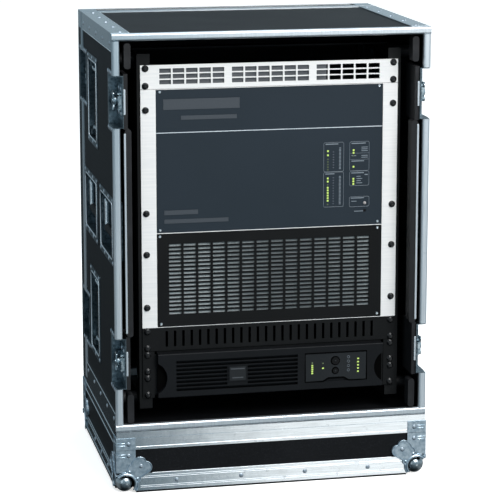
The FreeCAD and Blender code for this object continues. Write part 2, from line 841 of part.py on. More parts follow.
lower_vent_drop = 11 * rack_unit
tools = screw_holes("lower_vent", lower_vent_holes, (panel_front - 2, panel_back + 2))
for column in range(26):
    tools.append(slot_block(
        f"lower_slot_{column}", -198.5 + column * 15.69, 4.7, lower_vent_drop + 6.6, 30))
node(cut("lower_vent_panel", rack_plate("lower_vent_plate", lower_vent_drop, 1), tools),
     "lower_vent_panel")

# ---------------------------------------------------------------- processing rack

half_window = as_size(213.4)
core_drop = rack_unit
seam_drop = 7 * rack_unit
core_end_drop = 11 * rack_unit
seam_line = as_size(1.8)
fascia_gap = as_size(0.3)


def window(name, side_gap, y_ends, top_drop, bottom_drop):
    return block(
        name, (rack_shift - half_window + side_gap, rack_shift + half_window - side_gap),
        y_ends, (rack_top - bottom_drop + side_gap, rack_top - top_drop - side_gap))


fascia_drops = (core_drop + 1.2, seam_drop - seam_line)
grille_drops = (seam_drop + seam_line, core_end_drop - 3)
through = (panel_front - 2, panel_back + 2)
tools = screw_holes("ears", core_holes, through)
tools.append(window("fascia_window", 0, through, *fascia_drops))
tools.append(window("grille_window", 0, through, *grille_drops))
node(cut("core_ears", rack_plate("ears_plate", core_drop, 10), tools), "core_ears")

inset = (panel_front + 0.5, panel_back + 0.5)
node(window("core_fascia", fascia_gap, inset, *fascia_drops), "core_fascia")

GRILLE_COLUMNS, GRILLE_ROWS = 14, 18
tools = []
for column in range(GRILLE_COLUMNS):
    for row in range(GRILLE_ROWS):
        tools.append(slot_block(
            f"grille_slot_{column}_{row}", -190.8 + column * 27.5, 23.2, 332 + row * 7.55, 4.4))
grille_plate = window("grille_plate", fascia_gap, inset, *grille_drops)
node(cut("core_grille", grille_plate, tools), "core_grille")

filter_front = panel_back + 1
node(block(
    "grille_filter", (rack_shift - 200, rack_shift + 200), (filter_front, filter_front + 5),
    (rack_top - 475, rack_top - 322)), "grille_filter")

# Chassis: an open-fronted box with a shelf between the card bay and the power bay
wall = as_size(1.5)
half_chassis = as_size(217)
chassis_front = panel_back + 6.5
chassis_back = seam - 65
shelf = rack_top - seam_drop
chassis_blank = block(
    "chassis_blank", (rack_shift - half_chassis, rack_shift + half_chassis),
    (chassis_front, chassis_back), (rack_top - core_end_drop + 2, rack_top - core_drop - 2))
bay_across = (rack_shift - half_chassis + wall, rack_shift + half_chassis - wall)
bay_depth = (chassis_front - 5, chassis_back - wall)
card_bay = block(
    "card_bay", bay_across, bay_depth, (shelf + wall, rack_top - core_drop - 2 - wall))
power_bay = block(
    "power_bay", bay_across, bay_depth, (rack_top - core_end_drop + 2 + wall, shelf))
node(cut("core_chassis", chassis_blank, [card_bay, power_bay]), "core_chassis")

cards = [block(
    "backplane", (rack_shift - 205, rack_shift + 205), (chassis_back - 40, chassis_back - 37),
    (shelf + 15, rack_top - core_drop - 20))]
for card in range(12):
    card_x = rack_shift - 187 + card * 34
    cards.append(block(
        f"card_{card + 1}", (card_x, card_x + 1.6), (chassis_front + 12, chassis_back - 40),
        (shelf + wall, rack_top - core_drop - 14)))
node(group("processor_cards", cards), "processor_cards")

power_floor = rack_top - core_end_drop + 2 + wall
modules = []
for module in range(3):
    module_x = rack_shift - 195 + module * 132
    modules.append(block(
        f"power_module_{module + 1}", (module_x, module_x + 126),
        (chassis_front + 60, chassis_back - 10), (power_floor, power_floor + 128)))
node(group("power_modules", modules), "power_modules")

# Two axial fans behind the grille, drawing air through the filter
fan_half = as_size(59.5)
fan_depth = as_size(25)
fan_front = chassis_front + 8
fan_level = power_floor + fan_half
hub_length = as_size(18)
spindle = as_size(2.5)
fan_bodies = []
for side, offset in (("left", -85), ("right", 85)):
    fan_x = rack_shift + offset
    frame = block(
        f"fan_frame_{side}", (fan_x - fan_half, fan_x + fan_half),
        (fan_front, fan_front + fan_depth), (fan_level - fan_half, fan_level + fan_half))
    bore = rod(f"fan_bore_{side}", "y", (fan_x, fan_front - 1, fan_level), 56, fan_depth + 2)
    ring = cut(f"fan_ring_{side}", frame, [bore])
    stator = [ring, rod(
        f"fan_stator_{side}", "y", (fan_x, fan_front + fan_depth - 3, fan_level), 18, 3)]
    stator.append(rod(
        f"fan_spindle_{side}", "y", (fan_x, fan_front + 4, fan_level), spindle, fan_depth - 6))
    stator.append(block(
        f"fan_strut_{side}_flat", (fan_x - 57, fan_x + 57),
        (fan_front + fan_depth - 3, fan_front + fan_depth), (fan_level - 2, fan_level + 2)))
    stator.append(block(
        f"fan_strut_{side}_tall", (fan_x - 2, fan_x + 2),
        (fan_front + fan_depth - 3, fan_front + fan_depth), (fan_level - 57, fan_level + 57)))
    fan_bodies.append(fuse(f"fan_body_{side}", stator))

    rotor = [rod(f"rotor_hub_{side}", "y", (fan_x, fan_front + 2, fan_level), 17, hub_length)]
    blade = block(f"rotor_blade_{side}", (14, 51), (-9, 9), (-0.8, 0.8))
    tilt = FreeCAD.Rotation(X_AXIS, 38)
    for turn in range(7):
        spin = FreeCAD.Rotation(Y_AXIS, turn * 360 / 7)
        holder = copy(
            f"rotor_blade_{side}_{turn}", blade, (fan_x, fan_front + 11, fan_level),
            spin.multiply(tilt))
        rotor.append(holder)
    rotor_blank = fuse(f"rotor_blank_{side}", rotor)
    rotor_bore = rod(
        f"rotor_bore_{side}", "y", (fan_x, fan_front, fan_level), spindle + running_gap,
        hub_length + 4)
    node(cut(f"{side}_fan_rotor", rotor_blank, [rotor_bore]), f"{side}_fan_rotor")
node(group("fan_frames", fan_bodies), "fan_frames")

# ---------------------------------------------------------------- power supply

ups_drop = 12 * rack_unit
bezel_depth = as_size(14)
bezel_front = panel_front - bezel_depth
half_bezel = as_size(214.8)
bezel_ends = (rack_top - 620, rack_top - ups_drop - 3)
ups_chassis_blank = block(
    "ups_box", (rack_shift - half_bezel, rack_shift + half_bezel), (panel_back, chassis_back),
    (rack_level(rack_units) + 1, rack_top - ups_drop - 1))
ups_hollow = block(
    "ups_hollow", (rack_shift - half_bezel + wall, rack_shift + half_bezel - wall),
    (panel_back + wall, chassis_back - wall),
    (rack_level(rack_units) + 1 + wall, rack_top - ups_drop - 1 - wall))
ups_shell = cut("ups_shell", ups_chassis_blank, [ups_hollow])
ups_ears = []
for side, sign in (("left", -1), ("right", 1)):
    ups_ears.append(block(
        f"ups_ear_{side}",
        (rack_shift + sign * (half_rack - 22), rack_shift + sign * half_rack),
        (panel_front, panel_back), (rack_level(rack_units) + 0.4, rack_top - ups_drop - 0.4)))
ears_cut = cut(
    "ups_ears", fuse("ups_ears_blank", ups_ears),
    screw_holes("ups", ups_holes, through))
ups_web = block(
    "ups_web", (rack_shift - half_rack + 21, rack_shift + half_rack - 21),
    (panel_back - 1, panel_back + wall), (rack_level(rack_units) + 6, rack_top - ups_drop - 6))
node(fuse("ups_chassis", [ups_shell, ears_cut, ups_web]), "ups_chassis")

BADGE = (-82.6, -48.1, 564.4, 595.4)
bezel_body = block(
    "bezel_block", (rack_shift - half_bezel, rack_shift + half_bezel),
    (bezel_front, panel_front + 1.9), bezel_ends)
bezel_body = rounded("bezel_shell", bezel_body, "x", 2)
badge = block(
    "bezel_badge", (rack_shift + BADGE[0], rack_shift + BADGE[1]),
    (bezel_front - 1.5, bezel_front + 3), (rack_top - BADGE[3], rack_top - BADGE[2]))
tools = []
for row in range(8):
    slot_top = rack_top - 550.1 - row * 7.55
    ends = [(-181, 50)]
    if BADGE[2] - 3 < 550.1 + row * 7.55 < BADGE[3] + 1:
        ends = [(-181, BADGE[0] - 2), (BADGE[1] + 2, 50)]
    for part, (left, right) in enumerate(ends):
        tools.append(block(
            f"louvre_{row}_{part}", (rack_shift + left, rack_shift + right),
            (bezel_front - 1, bezel_front + 8), (slot_top - 5, slot_top)))
for side, sign in (("left", -1), ("right", 1)):
    tools.append(rod(
        f"finger_{side}", "y",
        (rack_shift + sign * (half_bezel + 15.4), bezel_front - 1, rack_top - 582.5), 32.4, 11))
PANEL_LEFT, PANEL_RIGHT, PANEL_TOP, PANEL_LOW = 64.4, 183.2, 550, 605
tools.append(block(
    "display_pocket", (rack_shift + PANEL_LEFT - 0.3, rack_shift + PANEL_RIGHT + 0.3),
    (bezel_front - 1, bezel_front + 3),
    (rack_top - PANEL_LOW - 0.3, rack_top - PANEL_TOP + 0.3)))
BUTTONS = [("upper", 566.1, 7.0), ("lower", 585.3, 5.0)]
button_x = rack_shift + 122.5
button_gap = as_size(0.3)
for name, drop, radius in BUTTONS:
    tools.append(rod(
        f"bezel_button_hole_{name}", "y", (button_x, bezel_front - 1, rack_top - drop),
        radius + button_gap, 12))
node(cut("ups_bezel", fuse("bezel_blank", [bezel_body, badge]), tools), "ups_bezel")

# The display panel has a shallow wave in its lower edge
outline = [
    (rack_shift + PANEL_LEFT, rack_top - PANEL_TOP),
    (rack_shift + PANEL_LEFT, rack_top - PANEL_LOW),
    (rack_shift + 99, rack_top - PANEL_LOW),
    (rack_shift + 109, rack_top - 599),
    (rack_shift + 139, rack_top - 599),
    (rack_shift + 149, rack_top - PANEL_LOW),
    (rack_shift + PANEL_RIGHT, rack_top - PANEL_LOW),
    (rack_shift + PANEL_RIGHT, rack_top - PANEL_TOP),
]
display_body = padded_body("display_plate", "XZ_Plane", outline, 2.6)
display_at = copy("display_plate_placed", display_body, (0, bezel_front + 2.9, 0))
tools = []
for name, drop, radius in BUTTONS:
    tools.append(rod(
        f"panel_button_hole_{name}", "y", (button_x, bezel_front - 2, rack_top - drop),
        radius + button_gap, 8))
node(cut("ups_display_panel", display_at, tools), "ups_display_panel")

button_length = as_size(8)
button_proud = as_size(1.5)
for name, drop, radius in BUTTONS:
    node(rod(
        f"ups_{name}_button", "y", (button_x, bezel_front - button_proud, rack_top - drop),
        radius, button_length), f"ups_{name}_button")

batteries = []
for cell in range(4):
    cell_x = rack_shift - 200 + cell * 66
    batteries.append(block(
        f"battery_{cell + 1}", (cell_x, cell_x + 64), (panel_back + 20, panel_back + 170),
        (rack_level(rack_units) + 1 + wall, rack_top - ups_drop - 12)))
node(group("ups_battery", batteries), "ups_battery")

# ---------------------------------------------------------------- indicator lenses

# Left edge from the rack's middle, drop from the top of the rack, how many, and spacing
CORE_LIGHTS = [
    (107.3, 167.4, 2, 7.7), (107.3, 218.6, 2, 5.8), (107.3, 236.2, 6, 4.9),
    (156.3, 167.2, 2, 5.0), (156.3, 198.3, 1, 5.0), (156.3, 221.0, 3, 4.9),
]
UPS_LIGHTS = [(76.2, 572.3, 5, 3.75), (96.8, 578.3, 1, 5.0), (164.9, 562.9, 5, 6.2)]
lenses = []
for lights, face, width, rise in (
        (CORE_LIGHTS, panel_front + 0.5, 3.2, 3.2), (UPS_LIGHTS, bezel_front + 0.3, 3.4, 2.6)):
    for left, drop, count, spacing in lights:
        for light in range(count):
            top = rack_top - drop - light * spacing
            lenses.append(block(
                f"lens_{len(lenses)}", (rack_shift + left, rack_shift + left + width),
                (face - 0.6, face), (top - rise, top)))
node(group("indicator_lenses", lenses), "indicator_lenses")

# ---------------------------------------------------------------- fasteners

screw = turned_body("rack_screw", [
    (0, 4.2), (3.5, 4.0), (5.0, 3.0), (5.2, 1.6), (6.2, 0.9), (6.2, 0), (3, 0), (3, -6), (0, -6),
])
screws = []
for drop in all_drops:
    for sign in (-1, 1):
        screws.append(copy(
            f"rack_screw_{len(screws)}", screw,
            (rack_shift + sign * screw_column, panel_front, rack_top - drop),
            FreeCAD.Rotation(X_AXIS, 90)))
node(group("rack_screws", screws), "rack_screws")

rivet = turned_body("rivet", [
    (0, rivet_rise), (rivet_radius * 0.45, rivet_rise * 0.9),
    (rivet_radius * 0.8, rivet_rise * 0.55), (rivet_radius, 0), (0, 0),
])
FACING_LEFT = FreeCAD.Rotation(Y_AXIS, -90)
FACING_FRONT = FreeCAD.Rotation(X_AXIS, 90)
FACING_BACK = FreeCAD.Rotation(X_AXIS, -90)
FACING_UP = FreeCAD.Rotation()
rivets = []


def add_rivet(point, facing):
    rivets.append(copy(f"rivet_{len(rivets)}", rivet, point, facing))


angle_middle = angle_leg * 0.6
for step in range(5):
    along = front + 30 + step * 86
    add_rivet((-half_width, along, case_height - angle_middle), FACING_LEFT)
    add_rivet((-half_width + angle_middle, along, case_height), FACING_UP)
    add_rivet((-half_width, along, base_height + angle_middle), FACING_LEFT)
    if step in (1, 2, 3):
        add_rivet((-half_width, along, foot + angle_leg / 2), FACING_LEFT)
for step in range(2):
    along = 61 + step * 122
    add_rivet((-along, front, foot + angle_leg / 2), FACING_FRONT)
    add_rivet((-along, back, foot + angle_leg / 2), FACING_BACK)
    add_rivet((-along, back, base_height + angle_leg / 2), FACING_BACK)
    add_rivet((-along, back, case_height - angle_leg / 2), FACING_BACK)
for step in range(6):
    add_rivet((-half_width + angle_middle, back, base_height + 70 + step * 120), FACING_BACK)
for name, mid_y, mid_z, long_way in HANDLES:
    outer_y, outer_z = handle_half_sizes(long_way, handle_lip / 2)
    for step in ((-0.94, -0.33, 0.33, 0.94) if long_way == "y" else (-0.92, 0, 0.92)):
        for sign in (-1, 1):
            add_rivet((-flange_face, mid_y + step * outer_y, mid_z + sign * outer_z), FACING_LEFT)
for mid_z in LATCH_LEVELS.values():
    for edge, inward in ((front, 1), (seam, -1)):
        for reach in (20, 38, 56):
            for sign in (-1, 1):
                add_rivet((
                    -flange_face, edge + inward * reach,
                    mid_z + sign * (latch_half - latch_lip / 2)), FACING_LEFT)
        for reach, up in ((13, 22), (13, -22), (40, 22), (40, -22)):
            add_rivet((-latch_plate, edge + inward * reach, mid_z + up), FACING_LEFT)
    for sign in (-1, 1):
        add_rivet((
            -flange_face, lid_front + 14, mid_z + sign * (latch_half - latch_lip / 2)),
            FACING_LEFT)
for y_sign, facing in ((-1, FACING_FRONT), (1, FACING_BACK)):
    face = y_sign * (back + plate)
    for inside, up in ((22, 94), (22, 72), (45, 51)):
        add_rivet((-half_width + inside, face, up), facing)
        add_rivet((-half_width - plate, y_sign * (back - inside), up), FACING_LEFT)
left_rivets = group("left_rivets", rivets)
node(group("rivets", [left_rivets, mirrored("right_rivets", left_rivets)]), "rivets")

# ---------------------------------------------------------------- check and write

doc.recompute()
for item in doc.Objects:
    if "Invalid" in item.State or "Error" in item.State:
        raise RuntimeError(f"{item.Name} failed: {item.State}")
for item in nodes:
    if item.Shape.isNull() or not item.Shape.isValid():
        raise RuntimeError(f"{item.Label} has no valid shape")
    if not item.Shape.Solids:
        raise RuntimeError(f"{item.Label} has no solid")

os.makedirs(NODE_FOLDER, exist_ok=True)
for item in nodes:
    item.Shape.exportStep(os.path.join(NODE_FOLDER, item.Label + ".step"))
    print(f"{item.Label}: {len(item.Shape.Solids)} solids, {item.Shape.Volume / 1000:.1f} cm3")
print(len(nodes), "nodes")
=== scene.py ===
import math

import bmesh
import bpy
from mathutils import Matrix, Vector


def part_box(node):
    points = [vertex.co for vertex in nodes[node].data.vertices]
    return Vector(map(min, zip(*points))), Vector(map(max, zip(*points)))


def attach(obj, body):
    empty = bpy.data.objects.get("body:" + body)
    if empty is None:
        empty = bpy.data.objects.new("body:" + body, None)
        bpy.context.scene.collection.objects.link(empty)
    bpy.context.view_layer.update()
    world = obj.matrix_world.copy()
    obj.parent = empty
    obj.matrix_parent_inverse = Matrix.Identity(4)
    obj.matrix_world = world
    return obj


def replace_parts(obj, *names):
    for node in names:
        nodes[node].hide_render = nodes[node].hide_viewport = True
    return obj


# A flight-cased equipment rack. The CAD frame holds every part; this script gives the
# parts their materials and adds the fine pieces that the frame leaves plain.

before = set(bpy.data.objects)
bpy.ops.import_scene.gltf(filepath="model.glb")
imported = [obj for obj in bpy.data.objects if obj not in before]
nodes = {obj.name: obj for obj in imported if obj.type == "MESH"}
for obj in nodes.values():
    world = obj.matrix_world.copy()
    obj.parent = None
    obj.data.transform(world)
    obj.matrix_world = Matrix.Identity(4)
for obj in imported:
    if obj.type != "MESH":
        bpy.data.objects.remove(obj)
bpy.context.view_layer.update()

MM = 0.001

# ---------------- places from the frame

ears_low, ears_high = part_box("core_ears")
vent_low, vent_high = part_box("top_vent_panel")
bezel_low, bezel_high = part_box("ups_bezel")
PANEL_CLEARANCE = 0.4 * MM
RACK_MID = (ears_low.x + ears_high.x) / 2
RACK_TOP = vent_high.z + PANEL_CLEARANCE
EARS_FACE = ears_low.y
FASCIA_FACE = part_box("core_fascia")[0].y
DISPLAY_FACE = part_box("ups_display_panel")[0].y
HALF_WIDTH, HALF_DEPTH, CASE_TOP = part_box("edge_bars")[1]
FRONT_RIM_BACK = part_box("front_rim")[1].y
REAR_RIM_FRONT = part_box("rear_rims")[0].y


def on_rack(across, down):
    """X and Z, in metres, of a point given in mm from the rack's middle and top."""
    return RACK_MID + across * MM, RACK_TOP - down * MM


# ---------------- camera, light, floor

CAMERA_AT = Vector((-0.857, -4.039, 1.280))
CAMERA_YAW = math.radians(12.03)
CAMERA_PITCH = math.radians(-10.97)
CAMERA_LENS = 156.8
CAMERA_SHIFT = -0.08
MIDDLE = (0, 0, 0.45)
FLOOR_REACH = 80
FLOOR_GLOW = 0.60
FRONT_GLOW = 0.20
SKY_GLOW = 0.36
LOW_GLOW = 0.02
SOFTBOX_GLOW = 1.0
SIDE_GLOW = 0.25
# The main soft box, by its direction, then the others: each one's direction, and the cosine of
# the angle where it fades out
SOFTBOX_AT = (0.357, -0.8925, -0.2756)
ROOM_COLOUR, SOFTBOX_COLOUR, SIDE_COLOUR = (0.64, 0.86, 1.0), (1.0, 0.99, 0.96), (0.86, 0.95, 1.0)
SIDE_SOFTBOXES = (((0.75, 0.6, -0.3), 0.5), ((-0.9, 0.3, -0.3), 0.6), ((0.93, -0.3, -0.25), 0.6))


def add_camera():
    data = bpy.data.cameras.new("camera")
    data.lens = CAMERA_LENS
    data.sensor_width = 36
    data.shift_y = CAMERA_SHIFT
    data.clip_end = 200
    camera = bpy.data.objects.new("camera", data)
    bpy.context.scene.collection.objects.link(camera)
    forward = Vector((
        math.sin(CAMERA_YAW) * math.cos(CAMERA_PITCH),
        math.cos(CAMERA_YAW) * math.cos(CAMERA_PITCH),
        math.sin(CAMERA_PITCH)))
    camera.location = CAMERA_AT
    camera.rotation_euler = forward.to_track_quat("-Z", "Y").to_euler()
    bpy.context.scene.camera = camera


def area_light(name, place, width, height, power, colour=(1, 1, 1)):
    """A flat lamp, sized in metres, that looks at the middle of the case."""
    data = bpy.data.lights.new(name, "AREA")
    data.shape = "RECTANGLE"
    data.size = width
    data.size_y = height
    data.energy = power
    data.color = colour
    lamp = bpy.data.objects.new(name, data)
    lamp.location = place
    lamp.rotation_euler = (Vector(MIDDLE) - Vector(place)).to_track_quat("-Z", "Y").to_euler()
    bpy.context.scene.collection.objects.link(lamp)


def add_world():
    """A dim blue room, lighter in front and above, with a soft box in front and three round it.

    The camera itself sees plain white behind the case.
    """
    world = bpy.data.worlds.new("studio")
    bpy.context.scene.world = world
    world.use_nodes = True
    tree = world.node_tree
    way = tree.nodes.new("ShaderNodeTexCoord").outputs["Generated"]

    def towards(direction, low, high, at_low, at_high):
        """A brightness that changes with the angle to a direction."""
        dot = tree.nodes.new("ShaderNodeVectorMath")
        dot.operation = "DOT_PRODUCT"
        tree.links.new(way, dot.inputs[0])
        dot.inputs[1].default_value = Vector(direction).normalized()
        spread = tree.nodes.new("ShaderNodeMapRange")
        spread.interpolation_type = "SMOOTHSTEP"
        tree.links.new(dot.outputs["Value"], spread.inputs["Value"])
        for name, value in (
                ("From Min", low), ("From Max", high), ("To Min", at_low), ("To Max", at_high)):
            spread.inputs[name].default_value = value
        return spread.outputs["Result"]

    def shine(strength, colour):
        made = tree.nodes.new("ShaderNodeBackground")
        made.inputs["Color"].default_value = (*colour, 1)
        tree.links.new(strength, made.inputs["Strength"])
        return made.outputs[0]

    def both(operation, first, second):
        made = tree.nodes.new(operation)
        tree.links.new(first, made.inputs[0])
        tree.links.new(second, made.inputs[1])
        return made

    dim = both(
        "ShaderNodeMath", towards((0.1, -0.99, 0.0), 0.2, 1.0, 0.0, FRONT_GLOW),
        towards((0, 0, 1), -0.27, 0.02, LOW_GLOW, SKY_GLOW)).outputs[0]
    softbox = towards(SOFTBOX_AT, 0.978, 0.9875, 0.0, SOFTBOX_GLOW)
    room = both(
        "ShaderNodeAddShader", shine(dim, ROOM_COLOUR),
        shine(softbox, SOFTBOX_COLOUR)).outputs[0]
    for direction, low in SIDE_SOFTBOXES:
        side = towards(direction, low, 0.95, 0.0, SIDE_GLOW)
        room = both("ShaderNodeAddShader", room, shine(side, SIDE_COLOUR)).outputs[0]
    backdrop = tree.nodes.new("ShaderNodeBackground")
    backdrop.inputs["Color"].default_value = (1, 1, 1, 1)
    seen = tree.nodes.new("ShaderNodeLightPath").outputs["Is Camera Ray"]
    choice = tree.nodes.new("ShaderNodeMixShader")
    tree.links.new(seen, choice.inputs["Fac"])
    tree.links.new(room, choice.inputs[1])
    tree.links.new(backdrop.outputs[0], choice.inputs[2])
    tree.links.new(choice.outputs[0], tree.nodes["World Output"].inputs["Surface"])


def add_studio():
    add_world()
    area_light("key", (0.9, -2.6, 2.3), 1.6, 1.6, 84)
    area_light("fill", (-2.4, -2.6, 1.0), 1.0, 2.2, 7, (0.88, 0.95, 1))
    area_light("overhead", (-0.4, 0.2, 2.8), 2.0, 1.6, 24, (0.92, 0.96, 1))
    area_light("behind", (2.6, 2.6, 1.6), 1.4, 2.2, 40, (0.95, 0.97, 1))
    sun = bpy.data.lights.new("sun", "SUN")
    sun.energy = 1.0
    sun.angle = math.radians(50)
    lamp = bpy.data.objects.new("sun", sun)
    lamp.rotation_euler = (math.radians(35), math.radians(14), 0)
    bpy.context.scene.collection.objects.link(lamp)


def add_floor():
    """A pale floor that reflections and bounced light leave out, so black parts stay black."""
    mesh = bpy.data.meshes.new("floor")
    corners = [(x * FLOOR_REACH, y * FLOOR_REACH, 0) for x, y in (
        (-1, -1), (1, -1), (1, 1), (-1, 1))]
    mesh.from_pydata(corners, [], [(0, 1, 2, 3)])
    floor = bpy.data.objects.new("floor", mesh)
    bpy.context.scene.collection.objects.link(floor)
    material = bpy.data.materials.new("floor")
    material.use_nodes = True
    shader = material.node_tree.nodes["Principled BSDF"]
    shader.inputs["Base Color"].default_value = (0.88, 0.865, 0.85, 1)
    shader.inputs["Roughness"].default_value = 0.9
    shader.inputs["Emission Color"].default_value = (1, 0.985, 0.965, 1)
    shader.inputs["Emission Strength"].default_value = FLOOR_GLOW
    mesh.materials.append(material)
    floor.visible_glossy = False
    floor.visible_diffuse = False


# ---------------- materials

class Surface:
    """A Principled material whose colour, roughness and bump come from a few noise layers."""

    def __init__(self, name, colour, rough, metal=0.0, specular=None):
        self.material = bpy.data.materials.new(name)
        self.material.use_nodes = True
        self.tree = self.material.node_tree
        self.shader = self.tree.nodes["Principled BSDF"]
        self.shader.inputs["Metallic"].default_value = metal
        self.shader.inputs["Roughness"].default_value = rough
        self.shader.inputs["Base Color"].default_value = (*colour, 1)
        if specular is not None:
            self.shader.inputs["Specular IOR Level"].default_value = specular
        self.coords = self.node("ShaderNodeTexCoord").outputs["Object"]
        self.base_colour = colour
        self.base_rough = rough
        self.colour = None
        self.rough = None
        self.height = None

    def node(self, kind, **settings):
        made = self.tree.nodes.new(kind)
        for key, value in settings.items():
            setattr(made, key, value)
        return made

    def link(self, source, target):
        self.tree.links.new(source, target)

    def mapped(self, stretch):
        mapping = self.node("ShaderNodeMapping")
        self.link(self.coords, mapping.inputs["Vector"])
        mapping.inputs["Scale"].default_value = stretch
        return mapping.outputs["Vector"]

    def noise(self, scale, detail=2.0, stretch=(1, 1, 1), roughness=0.5):
        made = self.node("ShaderNodeTexNoise")
        self.link(self.mapped(stretch), made.inputs["Vector"])
        made.inputs["Scale"].default_value = scale
        made.inputs["Detail"].default_value = detail
        made.inputs["Roughness"].default_value = roughness
        return made.outputs["Fac"]

    def cells(self, scale, feature="F1"):
        made = self.node("ShaderNodeTexVoronoi", feature=feature)
        self.link(self.coords, made.inputs["Vector"])
        made.inputs["Scale"].default_value = scale
        return made.outputs["Distance"]

    def spot(self, centre, reach):
        """1 at a point of the row frame, fading to 0 at a reach in metres on each axis."""
        mapping = self.node("ShaderNodeMapping", vector_type="TEXTURE")
        self.link(self.coords, mapping.inputs["Vector"])
        mapping.inputs["Location"].default_value = centre
        mapping.inputs["Scale"].default_value = reach
        ball = self.node("ShaderNodeTexGradient", gradient_type="SPHERICAL")
        self.link(mapping.outputs["Vector"], ball.inputs["Vector"])
        return self.ramp(ball.outputs["Fac"], 0.0, 0.75)

    def ramp(self, source, low, high):
        """Stretch the part of a 0 to 1 signal between low and high to the full range."""
        made = self.node("ShaderNodeMapRange", clamp=True)
        self.link(source, made.inputs["Value"])
        made.inputs["From Min"].default_value = low
        made.inputs["From Max"].default_value = high
        return made.outputs["Result"]

    def tint(self, amount, colour, share=1.0):
        """Mix another colour in where amount is high."""
        mix = self.node("ShaderNodeMix", data_type="RGBA")
        self.link(self.scaled(amount, share), mix.inputs["Factor"])
        if self.colour is None:
            mix.inputs[6].default_value = (*self.base_colour, 1)
        else:
            self.link(self.colour, mix.inputs[6])
        mix.inputs[7].default_value = (*colour, 1)
        self.colour = mix.outputs[2]

    def scaled(self, source, factor):
        if factor == 1.0:
            return source
        made = self.node("ShaderNodeMath", operation="MULTIPLY")
        self.link(source, made.inputs[0])
        made.inputs[1].default_value = factor
        return made.outputs[0]

    def added(self, first, second):
        made = self.node("ShaderNodeMath", operation="ADD")
        self.link(first, made.inputs[0])
        self.link(second, made.inputs[1])
        return made.outputs[0]

    def roughen(self, amount, strength):
        made = self.node("ShaderNodeMath", operation="MULTIPLY_ADD")
        self.link(amount, made.inputs[0])
        made.inputs[1].default_value = strength
        if self.rough is None:
            made.inputs[2].default_value = self.base_rough
        else:
            self.link(self.rough, made.inputs[2])
        self.rough = made.outputs[0]

    def raise_by(self, amount, strength=1.0):
        layer = self.scaled(amount, strength)
        self.height = layer if self.height is None else self.added(self.height, layer)

    def finish(self, bump=0.3, distance=0.0005):
        if self.colour is not None:
            self.link(self.colour, self.shader.inputs["Base Color"])
        if self.rough is not None:
            self.link(self.rough, self.shader.inputs["Roughness"])
        if self.height is not None:
            made = self.node("ShaderNodeBump")
            made.inputs["Strength"].default_value = bump
            made.inputs["Distance"].default_value = distance
            self.link(self.height, made.inputs["Height"])
            self.link(made.outputs["Normal"], self.shader.inputs["Normal"])
        return self.material


def scuffed(surface, pale, strength=0.5):
    """Sparse fine scratches in three directions, and faint dusty patches."""
    for stretch in ((1, 1, 9), (9, 1, 1), (1, 9, 1)):
        streaks = surface.ramp(surface.noise(22, 3, stretch, 0.6), 0.70, 0.78)
        surface.tint(streaks, pale, strength)
    dust = surface.ramp(surface.noise(4, 4), 0.45, 0.8)
    surface.tint(dust, pale, 0.25)
    surface.roughen(dust, 0.08)


def laminate():
    surface = Surface("laminate", (0.0040, 0.0043, 0.0050), 0.5, specular=0.13)
    scuffed(surface, (0.018, 0.019, 0.022))
    speckle = surface.ramp(surface.noise(620, 2), 0.60, 0.72)
    surface.tint(speckle, (0.034, 0.036, 0.040), 0.6)
    surface.raise_by(surface.cells(620, "SMOOTH_F1"))
    surface.raise_by(surface.noise(240, 3), 0.6)
    return surface.finish(0.35, 0.0006)


def aluminium(name, colour, rough, stretch, painted_shade=()):
    """Extruded metal with drawn lines; stretch is small along the length.

    Each (centre, reach) in the last argument is a place on the case where shade is painted: the
    metal's colour is darkened there, standing in for a darker reflection.
    """
    surface = Surface(name, colour, rough, 1.0)
    drawn = surface.noise(420, 3, stretch, 0.65)
    surface.tint(surface.ramp(drawn, 0.35, 0.9), tuple(c * 0.78 for c in colour))
    # Painted shade: a darker colour mixed in at each of these places
    for centre, reach in painted_shade:
        surface.tint(surface.spot(centre, reach), PAINTED_SHADE_METAL, 0.85)
    surface.roughen(drawn, 0.08)
    marks = surface.ramp(surface.noise(45, 5, roughness=0.7), 0.60, 0.74)
    surface.tint(marks, (0.40, 0.44, 0.48), 0.4)
    surface.roughen(marks, 0.15)
    surface.raise_by(drawn, 0.25)
    surface.raise_by(surface.noise(30, 3))
    return surface.finish(0.12, 0.0008)


def zinc(name, colour, rough, shade):
    """Plated pressed steel: cloudy, slightly blue, with small dents."""
    surface = Surface(name, colour, rough, 1.0)
    patches = surface.noise(160, 4)
    surface.tint(surface.ramp(patches, 0.38, 0.68), shade)
    bright = surface.ramp(surface.noise(75, 2), 0.55, 0.8)
    surface.tint(bright, tuple(min(c * 1.3, 0.95) for c in colour), 0.7)
    surface.roughen(patches, 0.16)
    surface.raise_by(surface.noise(350, 2), 0.4)
    surface.raise_by(surface.noise(55, 3))
    return surface.finish(0.2, 0.0008)


def powder_coat(name, colour, rough, specular=0.16):
    surface = Surface(name, colour, rough, specular=specular)
    surface.tint(surface.ramp(surface.noise(8, 3), 0.4, 0.8), tuple(c * 1.6 for c in colour))
    surface.raise_by(surface.noise(900, 2))
    surface.roughen(surface.noise(60, 2), 0.1)
    return surface.finish(0.22, 0.0004)


def silver_paint():
    surface = Surface("silver_paint", (0.84, 0.815, 0.79), 0.42, 0.12)
    grain = surface.noise(300, 3, (0.04, 1, 1), 0.6)
    surface.tint(surface.ramp(grain, 0.4, 0.9), (0.72, 0.71, 0.70))
    surface.roughen(grain, 0.1)
    surface.raise_by(grain, 0.5)
    surface.raise_by(surface.noise(700, 2), 0.5)
    return surface.finish(0.1, 0.0004)


def fascia_paint():
    surface = Surface("fascia_paint", (0.0150, 0.0225, 0.0300), 0.46, specular=0.2)
    surface.tint(surface.ramp(surface.noise(5, 4), 0.35, 0.8), (0.0175, 0.0255, 0.0350))
    surface.raise_by(surface.noise(1100, 2))
    surface.roughen(surface.noise(40, 2), 0.08)
    return surface.finish(0.15, 0.0003)


